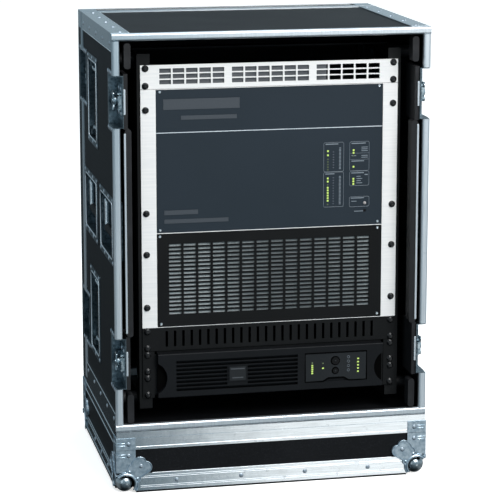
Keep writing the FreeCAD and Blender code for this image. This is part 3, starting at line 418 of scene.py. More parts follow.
def moulded_plastic(name, colour, rough, specular=0.2):
    surface = Surface(name, colour, rough, specular=specular)
    surface.tint(surface.ramp(surface.noise(14, 3), 0.4, 0.8), tuple(c * 1.3 for c in colour))
    surface.raise_by(surface.cells(1500))
    surface.roughen(surface.noise(120, 2), 0.08)
    return surface.finish(0.16, 0.0003)


def rubber():
    surface = Surface("rubber", (0.008, 0.008, 0.009), 0.6, specular=0.3)
    surface.tint(surface.ramp(surface.noise(30, 3), 0.5, 0.85), (0.020, 0.020, 0.022))
    surface.raise_by(surface.noise(500, 3))
    return surface.finish(0.25, 0.0005)


def filter_foam():
    """Open foam, with painted shade across its middle and painted light at its lower left."""
    surface = Surface("filter_foam", (0.37, 0.40, 0.40), 0.95)
    # Painted shade: a darker patch across the middle of the foam
    dark = surface.spot((RACK_MID + 0.035, 0, 0.39), (0.19, 0.3, 0.5))
    surface.tint(dark, (0.040, 0.048, 0.052))
    # Painted light: a paler patch at the lower left of the foam
    pale = surface.spot((RACK_MID - 0.17, 0, 0.33), (0.16, 0.3, 0.2))
    surface.tint(pale, (0.80, 0.84, 0.84))
    surface.tint(surface.ramp(surface.noise(9, 2), 0.4, 0.7), (0.25, 0.27, 0.28), 0.35)
    surface.tint(surface.ramp(surface.cells(520), 0.2, 0.8), (0.16, 0.17, 0.17), 0.55)
    surface.raise_by(surface.cells(520))
    return surface.finish(0.8, 0.001)


def circuit_board():
    surface = Surface("circuit_board", (0.012, 0.10, 0.045), 0.4)
    traces = surface.ramp(surface.cells(140, "DISTANCE_TO_EDGE"), 0.0, 0.06)
    surface.tint(traces, (0.02, 0.16, 0.07))
    surface.raise_by(traces)
    return surface.finish(0.2, 0.0003)


def print_ink(name, colour):
    surface = Surface(name, colour, 0.5)
    surface.tint(surface.ramp(surface.noise(900, 2), 0.45, 0.8), tuple(c * 0.8 for c in colour))
    surface.raise_by(surface.noise(900, 2))
    return surface.finish(0.08, 0.0002)


def lit_lens(name, colour, strength):
    surface = Surface(name, colour, 0.25)
    surface.tint(surface.ramp(surface.noise(800, 1), 0.3, 0.8), tuple(c * 0.7 for c in colour))
    surface.shader.inputs["Emission Color"].default_value = (*colour, 1)
    surface.shader.inputs["Emission Strength"].default_value = strength
    surface.raise_by(surface.noise(700, 1))
    return surface.finish(0.1, 0.0002)


# Painted shade: the colour and the places where the aluminium is darkened, standing in for its
# darker reflections towards the case's left, at the top and at the plinth
PAINTED_SHADE_METAL = (0.36, 0.45, 0.50)
PAINTED_SHADE_RIM = [((-0.30, 0, 0.80), (0.26, 0.6, 0.42))]
PAINTED_SHADE_PLINTH = [((-0.30, 0, 0.0), (0.34, 0.6, 0.16))]
ALONG_X, ALONG_Z = (0.05, 1, 1), (1, 1, 0.05)


def made_by(make, rows):
    """Materials by name; each row has a name and then what the function needs."""
    return {name: make(name, *rest) for name, *rest in rows}


MATERIALS = {
    "laminate": laminate(),
    **made_by(aluminium, (
        ("rim_aluminium", (0.74, 0.78, 0.81), 0.38, ALONG_Z, PAINTED_SHADE_RIM),
        ("edge_aluminium", (0.82, 0.86, 0.89), 0.09, ALONG_X, PAINTED_SHADE_PLINTH),
        ("bead_aluminium", (0.78, 0.82, 0.85), 0.36, ALONG_Z))),
    **made_by(zinc, (
        ("zinc", (0.50, 0.58, 0.64), 0.27, (0.30, 0.39, 0.46)),
        # Painted shade: the dishes' zinc is made far darker than the other zinc, standing in for
        # the dark reflections inside the recessed dishes
        ("shaded_dish_zinc", (0.20, 0.25, 0.28), 0.24, (0.05, 0.075, 0.09)),
        ("latch_zinc", (0.50, 0.58, 0.62), 0.18, (0.16, 0.23, 0.27)),
        ("ball_zinc", (0.42, 0.46, 0.48), 0.16, (0.26, 0.30, 0.33)),
        ("bar_steel", (0.78, 0.82, 0.84), 0.2, (0.55, 0.60, 0.64)),
        ("rivet_steel", (0.55, 0.60, 0.65), 0.24, (0.36, 0.42, 0.48)),
        ("module_case", (0.5, 0.5, 0.5), 0.35, (0.35, 0.36, 0.38)))),
    **made_by(powder_coat, (
        ("powder_coat", (0.0034, 0.0036, 0.0038), 0.5),
        ("screw_black", (0.0030, 0.0030, 0.0034), 0.22, 0.4))),
    "silver_paint": silver_paint(),
    "fascia_paint": fascia_paint(),
    **made_by(moulded_plastic, (
        ("bezel_plastic", (0.0050, 0.0055, 0.0064), 0.45, 0.14),
        ("display_plastic", (0.0115, 0.0130, 0.0145), 0.38),
        ("badge_plastic", (0.014, 0.0155, 0.017), 0.4),
        ("button_plastic", (0.0020, 0.0020, 0.0022), 0.3),
        ("fan_plastic", (0.008, 0.008, 0.008), 0.5),
        ("battery_plastic", (0.05, 0.05, 0.055), 0.5),
        ("vent_mesh", (0.105, 0.110, 0.118), 0.7),
        ("pale_plastic", (0.34, 0.31, 0.30), 0.4),
        # Painted shade: a near-black, nearly glossless material for the shade in the louvres, the
        # finger recesses and round the display
        ("painted_shade_black", (0.0010, 0.0010, 0.0010), 0.9, 0.03))),
    "rubber": rubber(),
    "filter_foam": filter_foam(),
    "circuit_board": circuit_board(),
    **made_by(print_ink, (
        ("nameplate", (0.040, 0.048, 0.058)),
        ("faint_ink", (0.085, 0.095, 0.12)),
        ("badge_ink", (0.050, 0.054, 0.060)),
        ("white_ink", (0.62, 0.66, 0.70)),
        ("grey_ink", (0.20, 0.23, 0.26)))),
    **made_by(lit_lens, (
        ("green_light", (0.40, 0.54, 0.12), 0.62),
        ("dim_light", (0.10, 0.13, 0.06), 0.1))),
}

NODE_MATERIALS = {
    "top_panel": "laminate", "side_panels": "laminate", "base_panels": "laminate",
    "rear_lid": "laminate", "front_rim": "rim_aluminium", "rear_rims": "rim_aluminium",
    "edge_bars": "edge_aluminium", "corner_braces": "zinc", "ball_corners": "zinc",
    "latch_dishes": "shaded_dish_zinc", "handle_dishes": "shaded_dish_zinc", "latch_plates": "latch_zinc",
    "rivets": "rivet_steel", "edge_trim": "rubber", "shock_mounts": "rubber",
    "rack_frame": "powder_coat", "lower_vent_panel": "powder_coat",
    "ups_chassis": "powder_coat", "core_chassis": "powder_coat",
    "rack_screws": "screw_black", "core_grille": "powder_coat",
    "top_vent_panel": "silver_paint", "core_ears": "silver_paint",
    "core_fascia": "fascia_paint", "grille_filter": "filter_foam",
    "processor_cards": "circuit_board", "power_modules": "module_case",
    "fan_frames": "fan_plastic", "left_fan_rotor": "fan_plastic",
    "right_fan_rotor": "fan_plastic", "ups_bezel": "bezel_plastic",
    "ups_display_panel": "display_plastic", "ups_battery": "battery_plastic",
    "ups_upper_button": "button_plastic", "ups_lower_button": "button_plastic",
    "indicator_lenses": "green_light",
}


def dress_nodes():
    for name, piece in nodes.items():
        key = NODE_MATERIALS.get(name)
        if key is None:
            key = "latch_zinc" if name.endswith(("_hook", "_wing")) else "bar_steel"
        for slot in piece.material_slots:
            slot.material = MATERIALS[key]


# ---------------- mesh helpers

def new_piece(name, mesh, material, body):
    piece = bpy.data.objects.new(name, mesh)
    bpy.context.scene.collection.objects.link(piece)
    mesh.materials.append(MATERIALS[material])
    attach(piece, body)
    return piece


def mesh_from(name, build):
    """A mesh made by a function that fills a bmesh."""
    work = bmesh.new()
    build(work)
    bmesh.ops.recalc_face_normals(work, faces=work.faces)
    mesh = bpy.data.meshes.new(name)
    work.to_mesh(mesh)
    work.free()
    return mesh


def place_on(origin, across, up, out):
    """A function from (across, up, out) in mm on a flat face to a point of the row frame."""
    origin, across, up, out = Vector(origin), Vector(across), Vector(up), Vector(out)
    return lambda a, b, c=0.0: origin + (across * a + up * b + out * c) * MM


def skin(work, rings, loop=False):
    """Faces between rings of vertices, with the ends closed unless the rings form a loop."""
    rings = [[work.verts.new(point) for point in ring] for ring in rings]
    pairs = list(zip(rings, rings[1:]))
    if loop:
        pairs.append((rings[-1], rings[0]))
    else:
        work.faces.new(rings[0][::-1])
        work.faces.new(rings[-1])
    for first, second in pairs:
        for index in range(len(first)):
            after = (index + 1) % len(first)
            work.faces.new((first[index], first[after], second[after], second[index]))


def add_box(work, low, high, bevel=0.0):
    made = bmesh.ops.create_cube(work, size=1)["verts"]
    low, high = Vector(low), Vector(high)
    for vert in made:
        vert.co = Vector(
            low[axis] if vert.co[axis] < 0 else high[axis] for axis in range(3))
    if bevel:
        edges = list({edge for vert in made for edge in vert.link_edges})
        bmesh.ops.bevel(work, geom=edges, offset=bevel, segments=2, affect="EDGES")


def rounded_outline(low, high, radius, steps=5):
    """Points round a rectangle with rounded corners, as (across, up)."""
    points = []
    centres = (
        (high[0] - radius, high[1] - radius, 0), (low[0] + radius, high[1] - radius, 90),
        (low[0] + radius, low[1] + radius, 180), (high[0] - radius, low[1] + radius, 270))
    for across, up, start in centres:
        for step in range(steps + 1):
            angle = math.radians(start + 90 * step / steps)
            points.append((across + radius * math.cos(angle), up + radius * math.sin(angle)))
    return points


def add_bead(work, points, out, radius, closed=False, sides=8):
    """A round bead along points on a face that looks towards out."""
    rings = []
    count = len(points)
    for index, point in enumerate(points):
        if closed:
            ahead, behind = points[(index + 1) % count], points[index - 1]
        else:
            ahead, behind = points[min(index + 1, count - 1)], points[max(index - 1, 0)]
        side = Vector(out).cross(ahead - behind).normalized()
        rings.append([
            point + radius * (
                Vector(out) * math.cos(2 * math.pi * step / sides)
                + side * math.sin(2 * math.pi * step / sides))
            for step in range(sides)])
    skin(work, rings, closed)


def add_turned(work, place, across, up, profile, sides=16):
    """A turned shape on a face; profile lists (radius, height) in mm from base to tip."""
    skin(work, [
        [place(
            across + radius * math.cos(2 * math.pi * step / sides),
            up + radius * math.sin(2 * math.pi * step / sides), height)
            for step in range(sides)]
        for radius, height in profile])


def add_dome(work, place, across, up, radius, base, rise):
    add_turned(work, place, across, up, [
        (radius * share, base + rise * lift) for share, lift in (
            (1, 0), (0.93, 0.3), (0.75, 0.62), (0.5, 0.85), (0.2, 0.98), (0.02, 1))])


def rounded_path(corners, radii, steps=6):
    """A path through corners whose inner corners are replaced by arcs."""
    points = [Vector(corners[0])]
    for before, corner, after, radius in zip(corners, corners[1:], corners[2:], radii):
        corner = Vector(corner)
        toward = (Vector(before) - corner).normalized()
        away = (Vector(after) - corner).normalized()
        half = toward.angle(away) / 2
        reach = radius / math.tan(half)
        centre = corner + (toward + away).normalized() * radius / math.sin(half)
        start = corner + toward * reach - centre
        end = corner + away * reach - centre
        for step in range(steps + 1):
            points.append(centre + start.slerp(end, step / steps) * radius)
    points.append(Vector(corners[-1]))
    return points


def add_tube(work, path, radius, sides=14):
    """A closed round bar along a path; radius is a number or one number per point."""
    rings = []
    normal = None
    for index, point in enumerate(path):
        ahead = path[min(index + 1, len(path) - 1)]
        behind = path[max(index - 1, 0)]
        tangent = (ahead - behind).normalized()
        if normal is None:
            normal = tangent.orthogonal().normalized()
        normal = (normal - tangent * normal.dot(tangent)).normalized()
        across = tangent.cross(normal)
        size = radius[index] if isinstance(radius, list) else radius
        rings.append([
            point + size * (
                normal * math.cos(2 * math.pi * side / sides)
                + across * math.sin(2 * math.pi * side / sides))
            for side in range(sides)])
    skin(work, rings)


def smooth(piece, angle=40):
    for face in piece.data.polygons:
        face.use_smooth = True
    piece.data.set_sharp_from_angle(angle=math.radians(angle))


def add_built(name, build, material, body="case", angle=40):
    """A smooth-shaded piece whose mesh a function fills."""
    piece = new_piece(name, mesh_from(name, build), material, body)
    smooth(piece, angle)
    return piece


# ---------------- handles

# Half sizes of a dish's window in mm, and how far its middle is from the handle's pivot
WINDOW_LONG, WINDOW_ACROSS = 75, 52.5
PIVOT_OFFSET = 36
ARM_REACH = 50 * MM
ARM_HALF = 56 * MM
STUB_HALF = 70 * MM
GRIP_HALF = 46 * MM
BAR_RADIUS = 4 * MM
GRIP_RADIUS = 7 * MM


def bail_frame(node_name):
    """The pivot's middle point, the direction along the pivot, and the way to the grip."""
    low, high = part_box(node_name)
    middle = (low + high) / 2
    if high.y - low.y > high.z - low.z:
        pivot = Vector((middle.x, middle.y, high.z - BAR_RADIUS))
        return pivot, Vector((0, 1, 0)), Vector((0, 0, -1))
    pivot = Vector((middle.x, high.y - BAR_RADIUS, middle.z))
    return pivot, Vector((0, 0, 1)), Vector((0, -1, 0))


def grip_profile():
    """Distances along the grip and radii: a soft sleeve with finger rings."""
    rings = 11
    profile = [(-GRIP_HALF, BAR_RADIUS * 1.1), (-GRIP_HALF, GRIP_RADIUS * 0.86)]
    profile.append((-GRIP_HALF + 1.5 * MM, GRIP_RADIUS))
    step = (GRIP_HALF * 2 - 8 * MM) / rings
    for ring in range(rings):
        start = -GRIP_HALF + 4 * MM + ring * step
        profile += [
            (start + step * 0.15, GRIP_RADIUS), (start + step * 0.3, GRIP_RADIUS * 0.9),
            (start + step * 0.7, GRIP_RADIUS * 0.9), (start + step * 0.85, GRIP_RADIUS)]
    profile += [
        (GRIP_HALF - 1.5 * MM, GRIP_RADIUS), (GRIP_HALF, GRIP_RADIUS * 0.86),
        (GRIP_HALF, BAR_RADIUS * 1.1)]
    return profile


def add_handle(node_name):
    pivot, along, down = bail_frame(node_name)

    def spot(side, reach):
        return pivot + along * side + down * reach

    corners = [
        spot(-STUB_HALF, 0), spot(-ARM_HALF, 0), spot(-ARM_HALF, ARM_REACH),
        spot(ARM_HALF, ARM_REACH), spot(ARM_HALF, 0), spot(STUB_HALF, 0)]
    path = rounded_path(corners, [6 * MM, 10 * MM, 10 * MM, 6 * MM])
    bar = add_built(
        node_name + "_bar", lambda work: add_tube(work, path, BAR_RADIUS), "bar_steel",
        node_name)
    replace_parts(bar, node_name)
    distances, radii = map(list, zip(*grip_profile()))
    sleeve = [spot(distance, ARM_REACH) for distance in distances]
    for index in range(1, len(sleeve)):
        if (sleeve[index] - sleeve[index - 1]).length < 1e-6:
            sleeve[index] = sleeve[index] + along * 1e-5
    add_built(
        node_name + "_grip", lambda work: add_tube(work, sleeve, radii, 20), "rubber",
        node_name)


def add_window_beads():
    """The rolled edge round each handle dish's window."""
    dish_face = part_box("handle_dishes")[1].x

    def build(work):
        for name in nodes:
            if not name.endswith("_bail"):
                continue
            pivot, along, down = bail_frame(name)
            out = Vector((math.copysign(1, pivot.x), 0, 0))
            centre = Vector((math.copysign(dish_face, pivot.x), pivot.y, pivot.z))
            place = place_on(centre + down * PIVOT_OFFSET * MM, along, down, out)
            outline = rounded_outline(
                (-WINDOW_LONG, -WINDOW_ACROSS), (WINDOW_LONG, WINDOW_ACROSS), 9)
            add_bead(
                work, [place(a, b, -0.2) for a, b in outline], out, 1.3 * MM, True)
    add_built("window_beads", build, "bead_aluminium")


# ---------------- latches

LATCH_PLATE_FACE = 276.2 * MM
# The rails beside a hook, in mm: their two long faces, half their length and their height
GUIDE_IN, GUIDE_OUT, GUIDE_HALF, GUIDE_HEIGHT = 12.3, 15.5, 18, 8


def add_wing(node_name):
    """A butterfly wing: a domed hub and two curled lobes."""
    low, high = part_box(node_name)
    out = Vector((math.copysign(1, high.x + low.x), 0, 0))
    face = max(abs(low.x), abs(high.x)) * out.x
    middle = Vector((face, (low.y + high.y) / 2, (low.z + high.z) / 2))
    place = place_on(middle, (0, 1, 0), (0, 0, 1), out)
    half = (high.z - low.z) / 2 / MM
    lobe = (high.y - low.y) / 2 / MM * 0.92
    columns = [-1, -0.85, -0.5, 0, 0.5, 0.85, 1]

    def build(work):
        add_turned(work, place, 0, 0, [
            (9.6, -6), (9.6, -1.8), (9.0, -0.8), (7.4, -0.3), (6.2, -0.9), (3.4, -0.9),
            (3.0, -0.1), (1.2, 0)], 28)
        rings = []
        for t in (-1, -0.96, -0.88, -0.75, -0.6, -0.42, -0.25, 0.25, 0.42, 0.6, 0.75, 0.88,
                  0.96, 1):
            width = lobe * (0.40 + 0.60 * math.sin(math.pi / 2 * min(1, abs(t) * 1.45)))
            width *= math.sqrt(1 - max(0, (abs(t) - 0.72) / 0.3) ** 2)
            curl = [1.7 * abs(s) ** 3 * min(1, abs(t) * 1.6) for s in columns]
            front = [place(s * width, t * half, -2.3 + c) for s, c in zip(columns, curl)]
            back = [place(s * width, t * half, -3.5 + c) for s, c in zip(columns, curl)]
            rings.append(front + back[::-1])
        skin(work, rings)

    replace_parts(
        add_built(node_name + "_butterfly", build, "latch_zinc", node_name, 50),
        node_name)


def add_latch_guides():
    """Two rails beside each hook."""
    def build(work):
        for name in nodes:
            if not name.endswith("_wing"):
                continue
            low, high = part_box(name)
            middle = (low + high) / 2
            side = math.copysign(1, middle.x)
            origin = (side * LATCH_PLATE_FACE, middle.y, middle.z)
            place = place_on(origin, (0, 1, 0), (0, 0, 1), (side, 0, 0))
            for edge in (-1, 1):
                ends = sorted((edge * GUIDE_IN, edge * GUIDE_OUT))
                corner = place(-GUIDE_HALF, ends[0])
                far = place(GUIDE_HALF, ends[1], GUIDE_HEIGHT)
                add_box(
                    work, [min(pair) for pair in zip(corner, far)],
                    [max(pair) for pair in zip(corner, far)], 0.7 * MM)
    add_built("latch_guides", build, "latch_zinc")


# ---------------- case corners and edges

BALL_RADIUS = 17.5
BALL_IN, BALL_UP = 16.5, 17.5
COLLAR_REACH = 23.5
# Rivets of a leaf, in from the corner and up
LEAF_RIVETS = ((23.3, 41), (38.2, 27))
# Discs whose union is the leaf's outline on a face: in from the corner, up, radius
LEAF_DISCS = [
    (43, 58, 11.4), (54, 49, 11.4), (44, 48, 11), (36, 56, 8.4), (28, 49, 6.5),
    (33, 39, 11.3), (30, 32, 11.3), (23.3, 41, 6.2), (38.2, 27, 6.2)]


def outward(place):
    """The way out of a face that place_on made."""
    return (place(0, 0, 1) - place(0, 0, 0)).normalized()


def corner_faces(x_sign, y_sign):
    """The two upright faces at a corner, each measured inwards from the corner."""
    corner = Vector((x_sign * HALF_WIDTH, y_sign * HALF_DEPTH, 0))
    return (
        place_on(corner, (-x_sign, 0, 0), (0, 0, 1), (0, y_sign, 0)),
        place_on(corner, (0, -y_sign, 0), (0, 0, 1), (x_sign, 0, 0)))


def leaf_edge(angle):
    """How far the leaf reaches from the ball's middle at an angle."""
    across, up = math.cos(angle), math.sin(angle)
    reach = COLLAR_REACH
    for disc_in, disc_up, radius in LEAF_DISCS:
        right, above = disc_in - BALL_IN, disc_up - BALL_UP
        along = right * across + above * up
        spare = radius ** 2 - (right ** 2 + above ** 2 - along ** 2)
        if spare > 0 and along > 0:
            reach = max(reach, along + math.sqrt(spare))
    return reach


def add_leaf(work, place):
    """The pressed leaf of a ball corner: a collar round the ball and a rimmed clover."""
    rings = []
    steps = 85
    for step in range(steps + 1):
        angle = math.radians(-35 + 170 * step / steps)
        edge = leaf_edge(angle)
        profile = [
            (17.2, -2), (17.2, 2.4), (18.4, 3.0), (19.8, 2.8), (21.0, 1.9), (21.5, 1.4),
            (edge - 1.9, 1.4), (edge - 1.2, 2.1), (edge - 0.5, 2.2), (edge, 1.5), (edge, -2)]
        rings.append([
            place(BALL_IN + radius * math.cos(angle), BALL_UP + radius * math.sin(angle), lift)
            for radius, lift in profile])
    skin(work, rings)
    add_bead(work, [ring[8] for ring in rings], outward(place), 0.9 * MM)
    for rivet_in, rivet_up in LEAF_RIVETS:
        add_dome(work, place, rivet_in, rivet_up, 3.2, 1.3, 1.7)


def add_corners():
    for y_name, y_sign in (("front", -1), ("rear", 1)):
        for x_name, x_sign in (("left", -1), ("right", 1)):
            name = f"{x_name}_{y_name}_corner"
            faces = corner_faces(x_sign, y_sign)
            piece = add_built(
                name + "_leaf", lambda work: [add_leaf(work, place) for place in faces], "zinc",
                angle=35)
            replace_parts(piece, "ball_corners")

            def ball(work):
                made = bmesh.ops.create_uvsphere(
                    work, u_segments=40, v_segments=24, radius=BALL_RADIUS * MM)["verts"]
                centre = Vector((
                    x_sign * (HALF_WIDTH - BALL_IN * MM), y_sign * (HALF_DEPTH - BALL_IN * MM),
                    BALL_UP * MM))
                bmesh.ops.translate(work, verts=made, vec=centre)
                for place in faces:
                    ring = [
                        place(BALL_IN + 17.7 * math.cos(a), BALL_UP + 17.7 * math.sin(a), 1.6)
                        for a in (math.radians(-40 + 180 * step / 40) for step in range(41))]
                    add_bead(work, ring, outward(place), 1.3 * MM)
            add_built(name + "_ball", ball, "ball_zinc")


RIB_HEIGHTS = (94, 72)
RIB_HALF_GAP = 2.6


def add_brace_ribs():
    """Pressed ribs from a brace's outer edge to its rivets."""
    def build(work):
        for x_sign in (-1, 1):
            for y_sign in (-1, 1):
                for place in corner_faces(x_sign, y_sign):
                    for up in RIB_HEIGHTS:
                        for shift in (-RIB_HALF_GAP, RIB_HALF_GAP):
                            path = [
                                place(a, up + shift, lift) for a, lift in (
                                    (0.6, 0.2), (2.0, 0.9), (14.5, 0.9), (16.5, 0.2))]
                            add_bead(work, path, outward(place), 0.9 * MM)
    add_built("brace_ribs", build, "zinc")


# Heights of the aluminium's rolled edges, and how far short of the corners the skirt's stop
BODY_EDGES = (819 * MM, 150 * MM)
SIDE_EDGES = ((37 * MM, 0.040), (88 * MM, 0.036), (104 * MM, 0.036))
END_EDGES = ((37 * MM, 0.066), (88 * MM, 0.036))
# The same for the drawn ridges
RIDGES = [up * MM for up in (10, 13, 28, 31)]
SIDE_RIDGE_STOP, END_RIDGE_STOP = 0.042, 0.044
UPPER_EDGE_IN = 0.033
REAR_EDGE_HALF = 0.262
EDGE_BEAD, RIDGE_BEAD = 0.8 * MM, 0.4 * MM


def add_edge_beads():
    """Rolled edges and drawn ridges along the aluminium angles."""
    beads = []

    def bead(start, end, out, radius=EDGE_BEAD):
        beads.append((Vector(start), Vector(end), out, radius))

    for sign in (-1, 1):
        x, y = sign * HALF_WIDTH, sign * HALF_DEPTH
        out = (sign, 0, 0)
        for up in BODY_EDGES:
            bead((x, FRONT_RIM_BACK, up), (x, REAR_RIM_FRONT, up), out)
        for up, short in SIDE_EDGES:
            reach = HALF_DEPTH - short
            bead((x, -reach, up), (x, reach, up), out)
        reach = HALF_DEPTH - SIDE_RIDGE_STOP
        for up in RIDGES:
            bead((x, -reach, up), (x, reach, up), out, RIDGE_BEAD)
        inner = sign * (HALF_WIDTH - UPPER_EDGE_IN)
        bead((inner, FRONT_RIM_BACK, CASE_TOP), (inner, REAR_RIM_FRONT, CASE_TOP), (0, 0, 1))
        bead((inner, HALF_DEPTH, BODY_EDGES[1]), (inner, HALF_DEPTH, BODY_EDGES[0]), (0, 1, 0))
        out = (0, sign, 0)
        for up, short in END_EDGES:
            reach = HALF_WIDTH - short
            bead((-reach, y, up), (reach, y, up), out)
        reach = HALF_WIDTH - END_RIDGE_STOP
        for up in RIDGES:
            bead((-reach, y, up), (reach, y, up), out, RIDGE_BEAD)
    for up in BODY_EDGES[::-1]:
        bead((-REAR_EDGE_HALF, HALF_DEPTH, up), (REAR_EDGE_HALF, HALF_DEPTH, up), (0, 1, 0))

    def build(work):
        for start, end, out, radius in beads:
            add_bead(work, [start, end], out, radius)
    add_built("edge_beads", build, "bead_aluminium")


# The front rim's inner tongue: its heights in mm, then its sides and faces in metres
TONGUE_SPANS = ((303, 672), (706, 752), (223, 269))
TONGUE_SIDES, TONGUE_FACES = (0.2712, 0.2746), (-0.2236, -0.2218)


def add_rim_tongues():
    """The bright inner tongue of the front rim, seen between the latches."""
    def build(work):
        for sign in (-1, 1):
            left, right = sorted(sign * side for side in TONGUE_SIDES)
            for low, high in TONGUE_SPANS:
                add_box(
                    work, (left, TONGUE_FACES[0], low * MM), (right, TONGUE_FACES[1], high * MM),
                    0.5 * MM)
    add_built("rim_tongues", build, "bead_aluminium")


# ---------------- printed front detail

def add_plates(name, plates, face, thick, material, bevel=0.0):
    """Thin plates on a face that looks towards -Y: (left, top, width, height) in rack mm."""
    def build(work):
        for left, top, width, height in plates:
            x, z = on_rack(left, top)
            add_box(
                work, (x, face - thick, z - height * MM), (x + width * MM, face, z), bevel)
    new_piece(name, mesh_from(name, build), material, "case")


# Indicator groups: left, top, right, bottom in rack mm
GROUPS = [
    (101.0, 153.0, 139.2, 207.8), (101.0, 208.8, 139.2, 274.3),
    (150.6, 152.8, 187.8, 207.6), (150.6, 208.6, 187.8, 235.8), (150.6, 256.6, 188.5, 275.6),
]


def front_place(face):
    """Rack mm on a face that looks towards -Y: (across, down as a negative up, out)."""
    return place_on((RACK_MID, face, RACK_TOP), (1, 0, 0), (0, 0, 1), (0, -1, 0))


def circle(place, across, down, radius, steps=28):
    return [
        place(across + radius * math.cos(turn), -down + radius * math.sin(turn))
        for turn in (2 * math.pi * step / steps for step in range(steps))]


def add_indicator_marks():
    """Outlines, heading bars, rule lines, rows of ticks and the lamps that are off."""
    place = front_place(FASCIA_FACE)

    def outlines(work):
        for left, top, right, bottom in GROUPS:
            outline = rounded_outline((left, -bottom), (right, -top), 3)
            add_bead(work, [place(a, b) for a, b in outline], (0, -1, 0), 0.3 * MM, True, 6)
    add_built("indicator_outlines", outlines, "grey_ink")

    marks = [
        (104.5, 155.2, 24, 1.7), (104.5, 211.0, 17, 1.7), (154.0, 155.2, 27, 1.7),
        (154.0, 188.4, 24, 1.7), (154.0, 210.8, 24, 1.7), (153.5, 258.4, 25, 1.6),
        (154.5, 264.6, 10, 1.2), (160.0, 283.6, 17, 1.3), (151.2, 174.4, 36, 0.4),
        (151.2, 186.2, 36, 0.4), (154.0, 178.6, 9, 1.2), (179.5, 214.4, 6, 1.8)]
    marks += [(173.0, down, 12, 1.2) for down in (163, 166.4, 169.8, 178.6, 182.0)]
    marks += [(164.0, 217.8 + row * 4.1, 8 + row % 2 * 3, 1.3) for row in range(4)]
    for first, count in ((163.0, 16), (216.5, 21)):
        marks += [(130.3, first + row * 2.6, 3.6, 1.2) for row in range(count)]
    add_plates("indicator_marks", marks, FASCIA_FACE, 0.2 * MM, "grey_ink")
    faint = []
    for first, count in ((170.0, 7), (218.6, 11)):
        faint += [(118.4, first + row * 4.9, 2.4, 1.6) for row in range(count)]
    add_plates("faint_marks", faint, FASCIA_FACE, 0.2 * MM, "faint_ink")
    dark = [(107.8, 183.0 + row * 4.9, 2.4, 2.6) for row in range(5)]
    dark += [(107.8, 230.8, 2.4, 2.6), (107.8, 268.0, 2.4, 2.6), (156.8, 178.2, 2.2, 2.4)]
    add_plates("unlit_lenses", dark, FASCIA_FACE, 0.3 * MM, "dim_light", 0.1 * MM)


# Half the width of the fascia and of the grille, in mm
FASCIA_HALF = 213


def add_fascia_detail():
    place = front_place(FASCIA_FACE)
    left, wide = -FASCIA_HALF, 2 * FASCIA_HALF
    add_plates("fascia_rule", [(left, 124.3, wide, 1.3)], FASCIA_FACE, 0.25 * MM,
               "white_ink")
    # Strips over the ears that leave a narrow silver seam above and below the grille
    strip_back = EARS_FACE + 0.1 * MM
    add_plates("fascia_fold", [(left, 308.8, wide, 1.6)], strip_back, 0.25 * MM,
               "fascia_paint", 0.05 * MM)
    add_plates("grille_folds", [(left, 311.7, wide, 1.8), (left, 485.4, wide, 2.2)],
               strip_back, 0.25 * MM, "powder_coat", 0.05 * MM)
    # Blank plates in place of any name
    add_plates("blank_nameplates", [
        (-199.6, 63, 142, 20), (-167, 94, 104, 8), (-199, 268.5, 63, 9),
        (-199, 285.5, 120, 8)], FASCIA_FACE, 0.5 * MM, "nameplate", 0.25 * MM)

    def knob(work):
        add_turned(work, place, 179.9, -269, [
            (2.9, -0.2), (2.9, 0.5), (2.2, 0.7), (2.0, 2.6), (1.5, 3.1), (0.2, 3.2)], 24)
    add_built("reset_knob", knob, "pale_plastic")
    add_plates("reset_socket", [(177.6, 280.6, 5, 5)], FASCIA_FACE, 0.6 * MM, "button_plastic",
               0.3 * MM)

    def screws(work):
        for across, down in (
                (-206, 49.6), (206, 49.6), (-207, 305), (205, 305), (-207.5, 317),
                (205, 317), (-206, 482), (206, 482)):
            add_turned(work, place, across, -down, [
                (2.6, -0.2), (2.6, 0.5), (2.1, 1.1), (1.2, 1.2), (1.0, 0.5), (0.2, 0.5)], 18)
    add_built("panel_screws", screws, "bar_steel")


def add_vent_mesh():
    """A ribbed screen behind the slots of the top vent panel; it stops short of the right."""
    pitch = 2.2 * MM

    def build(work):
        y = vent_high.y + 0.6 * MM
        left, right = vent_low.x + 22 * MM, on_rack(106, 0)[0]
        bottom, top = vent_low.z + 4 * MM, vent_high.z - 4 * MM
        add_box(work, (left, y + 0.8 * MM, bottom), (right, y + 1.4 * MM, top))
        for step in range(int((right - left) / pitch)):
            x = left + step * pitch
            add_box(work, (x, y, bottom), (x + 0.8 * MM, y + 0.8 * MM, top))
    new_piece("vent_mesh", mesh_from("vent_mesh", build), "vent_mesh", "case")


# ---------------- power supply front

BEZEL_FACE = DISPLAY_FACE - 0.3 * MM
BADGE_FACE = bezel_low.y
LOUVRES = 8
LOUVRE_TOP, LOUVRE_PITCH, LOUVRE_HEIGHT = 550.1, 7.55, 5
LOUVRE_ENDS = (-181, 50)
BADGE_ENDS = (-84.6, -46.1)
# Louvres that start between these depths stop at the badge
BADGE_SPAN = (561, 597)
# A finger recess: how far outside the bezel its round is centred, how far down, and its radius
RECESS_OUT, RECESS_DOWN, RECESS_RADIUS = 15.4, 582.5, 32.1
# Down from the rack's top, and the radius of the ring round each button
BUTTONS = (("ups_upper_button", 566.1, 8.2), ("ups_lower_button", 585.3, 6.2))
BUTTON_ACROSS = 122.5
DISPLAY = [
    (64.4, -550), (64.4, -605), (99, -605), (109, -599), (139, -599), (149, -605),
    (183.2, -605), (183.2, -550)]


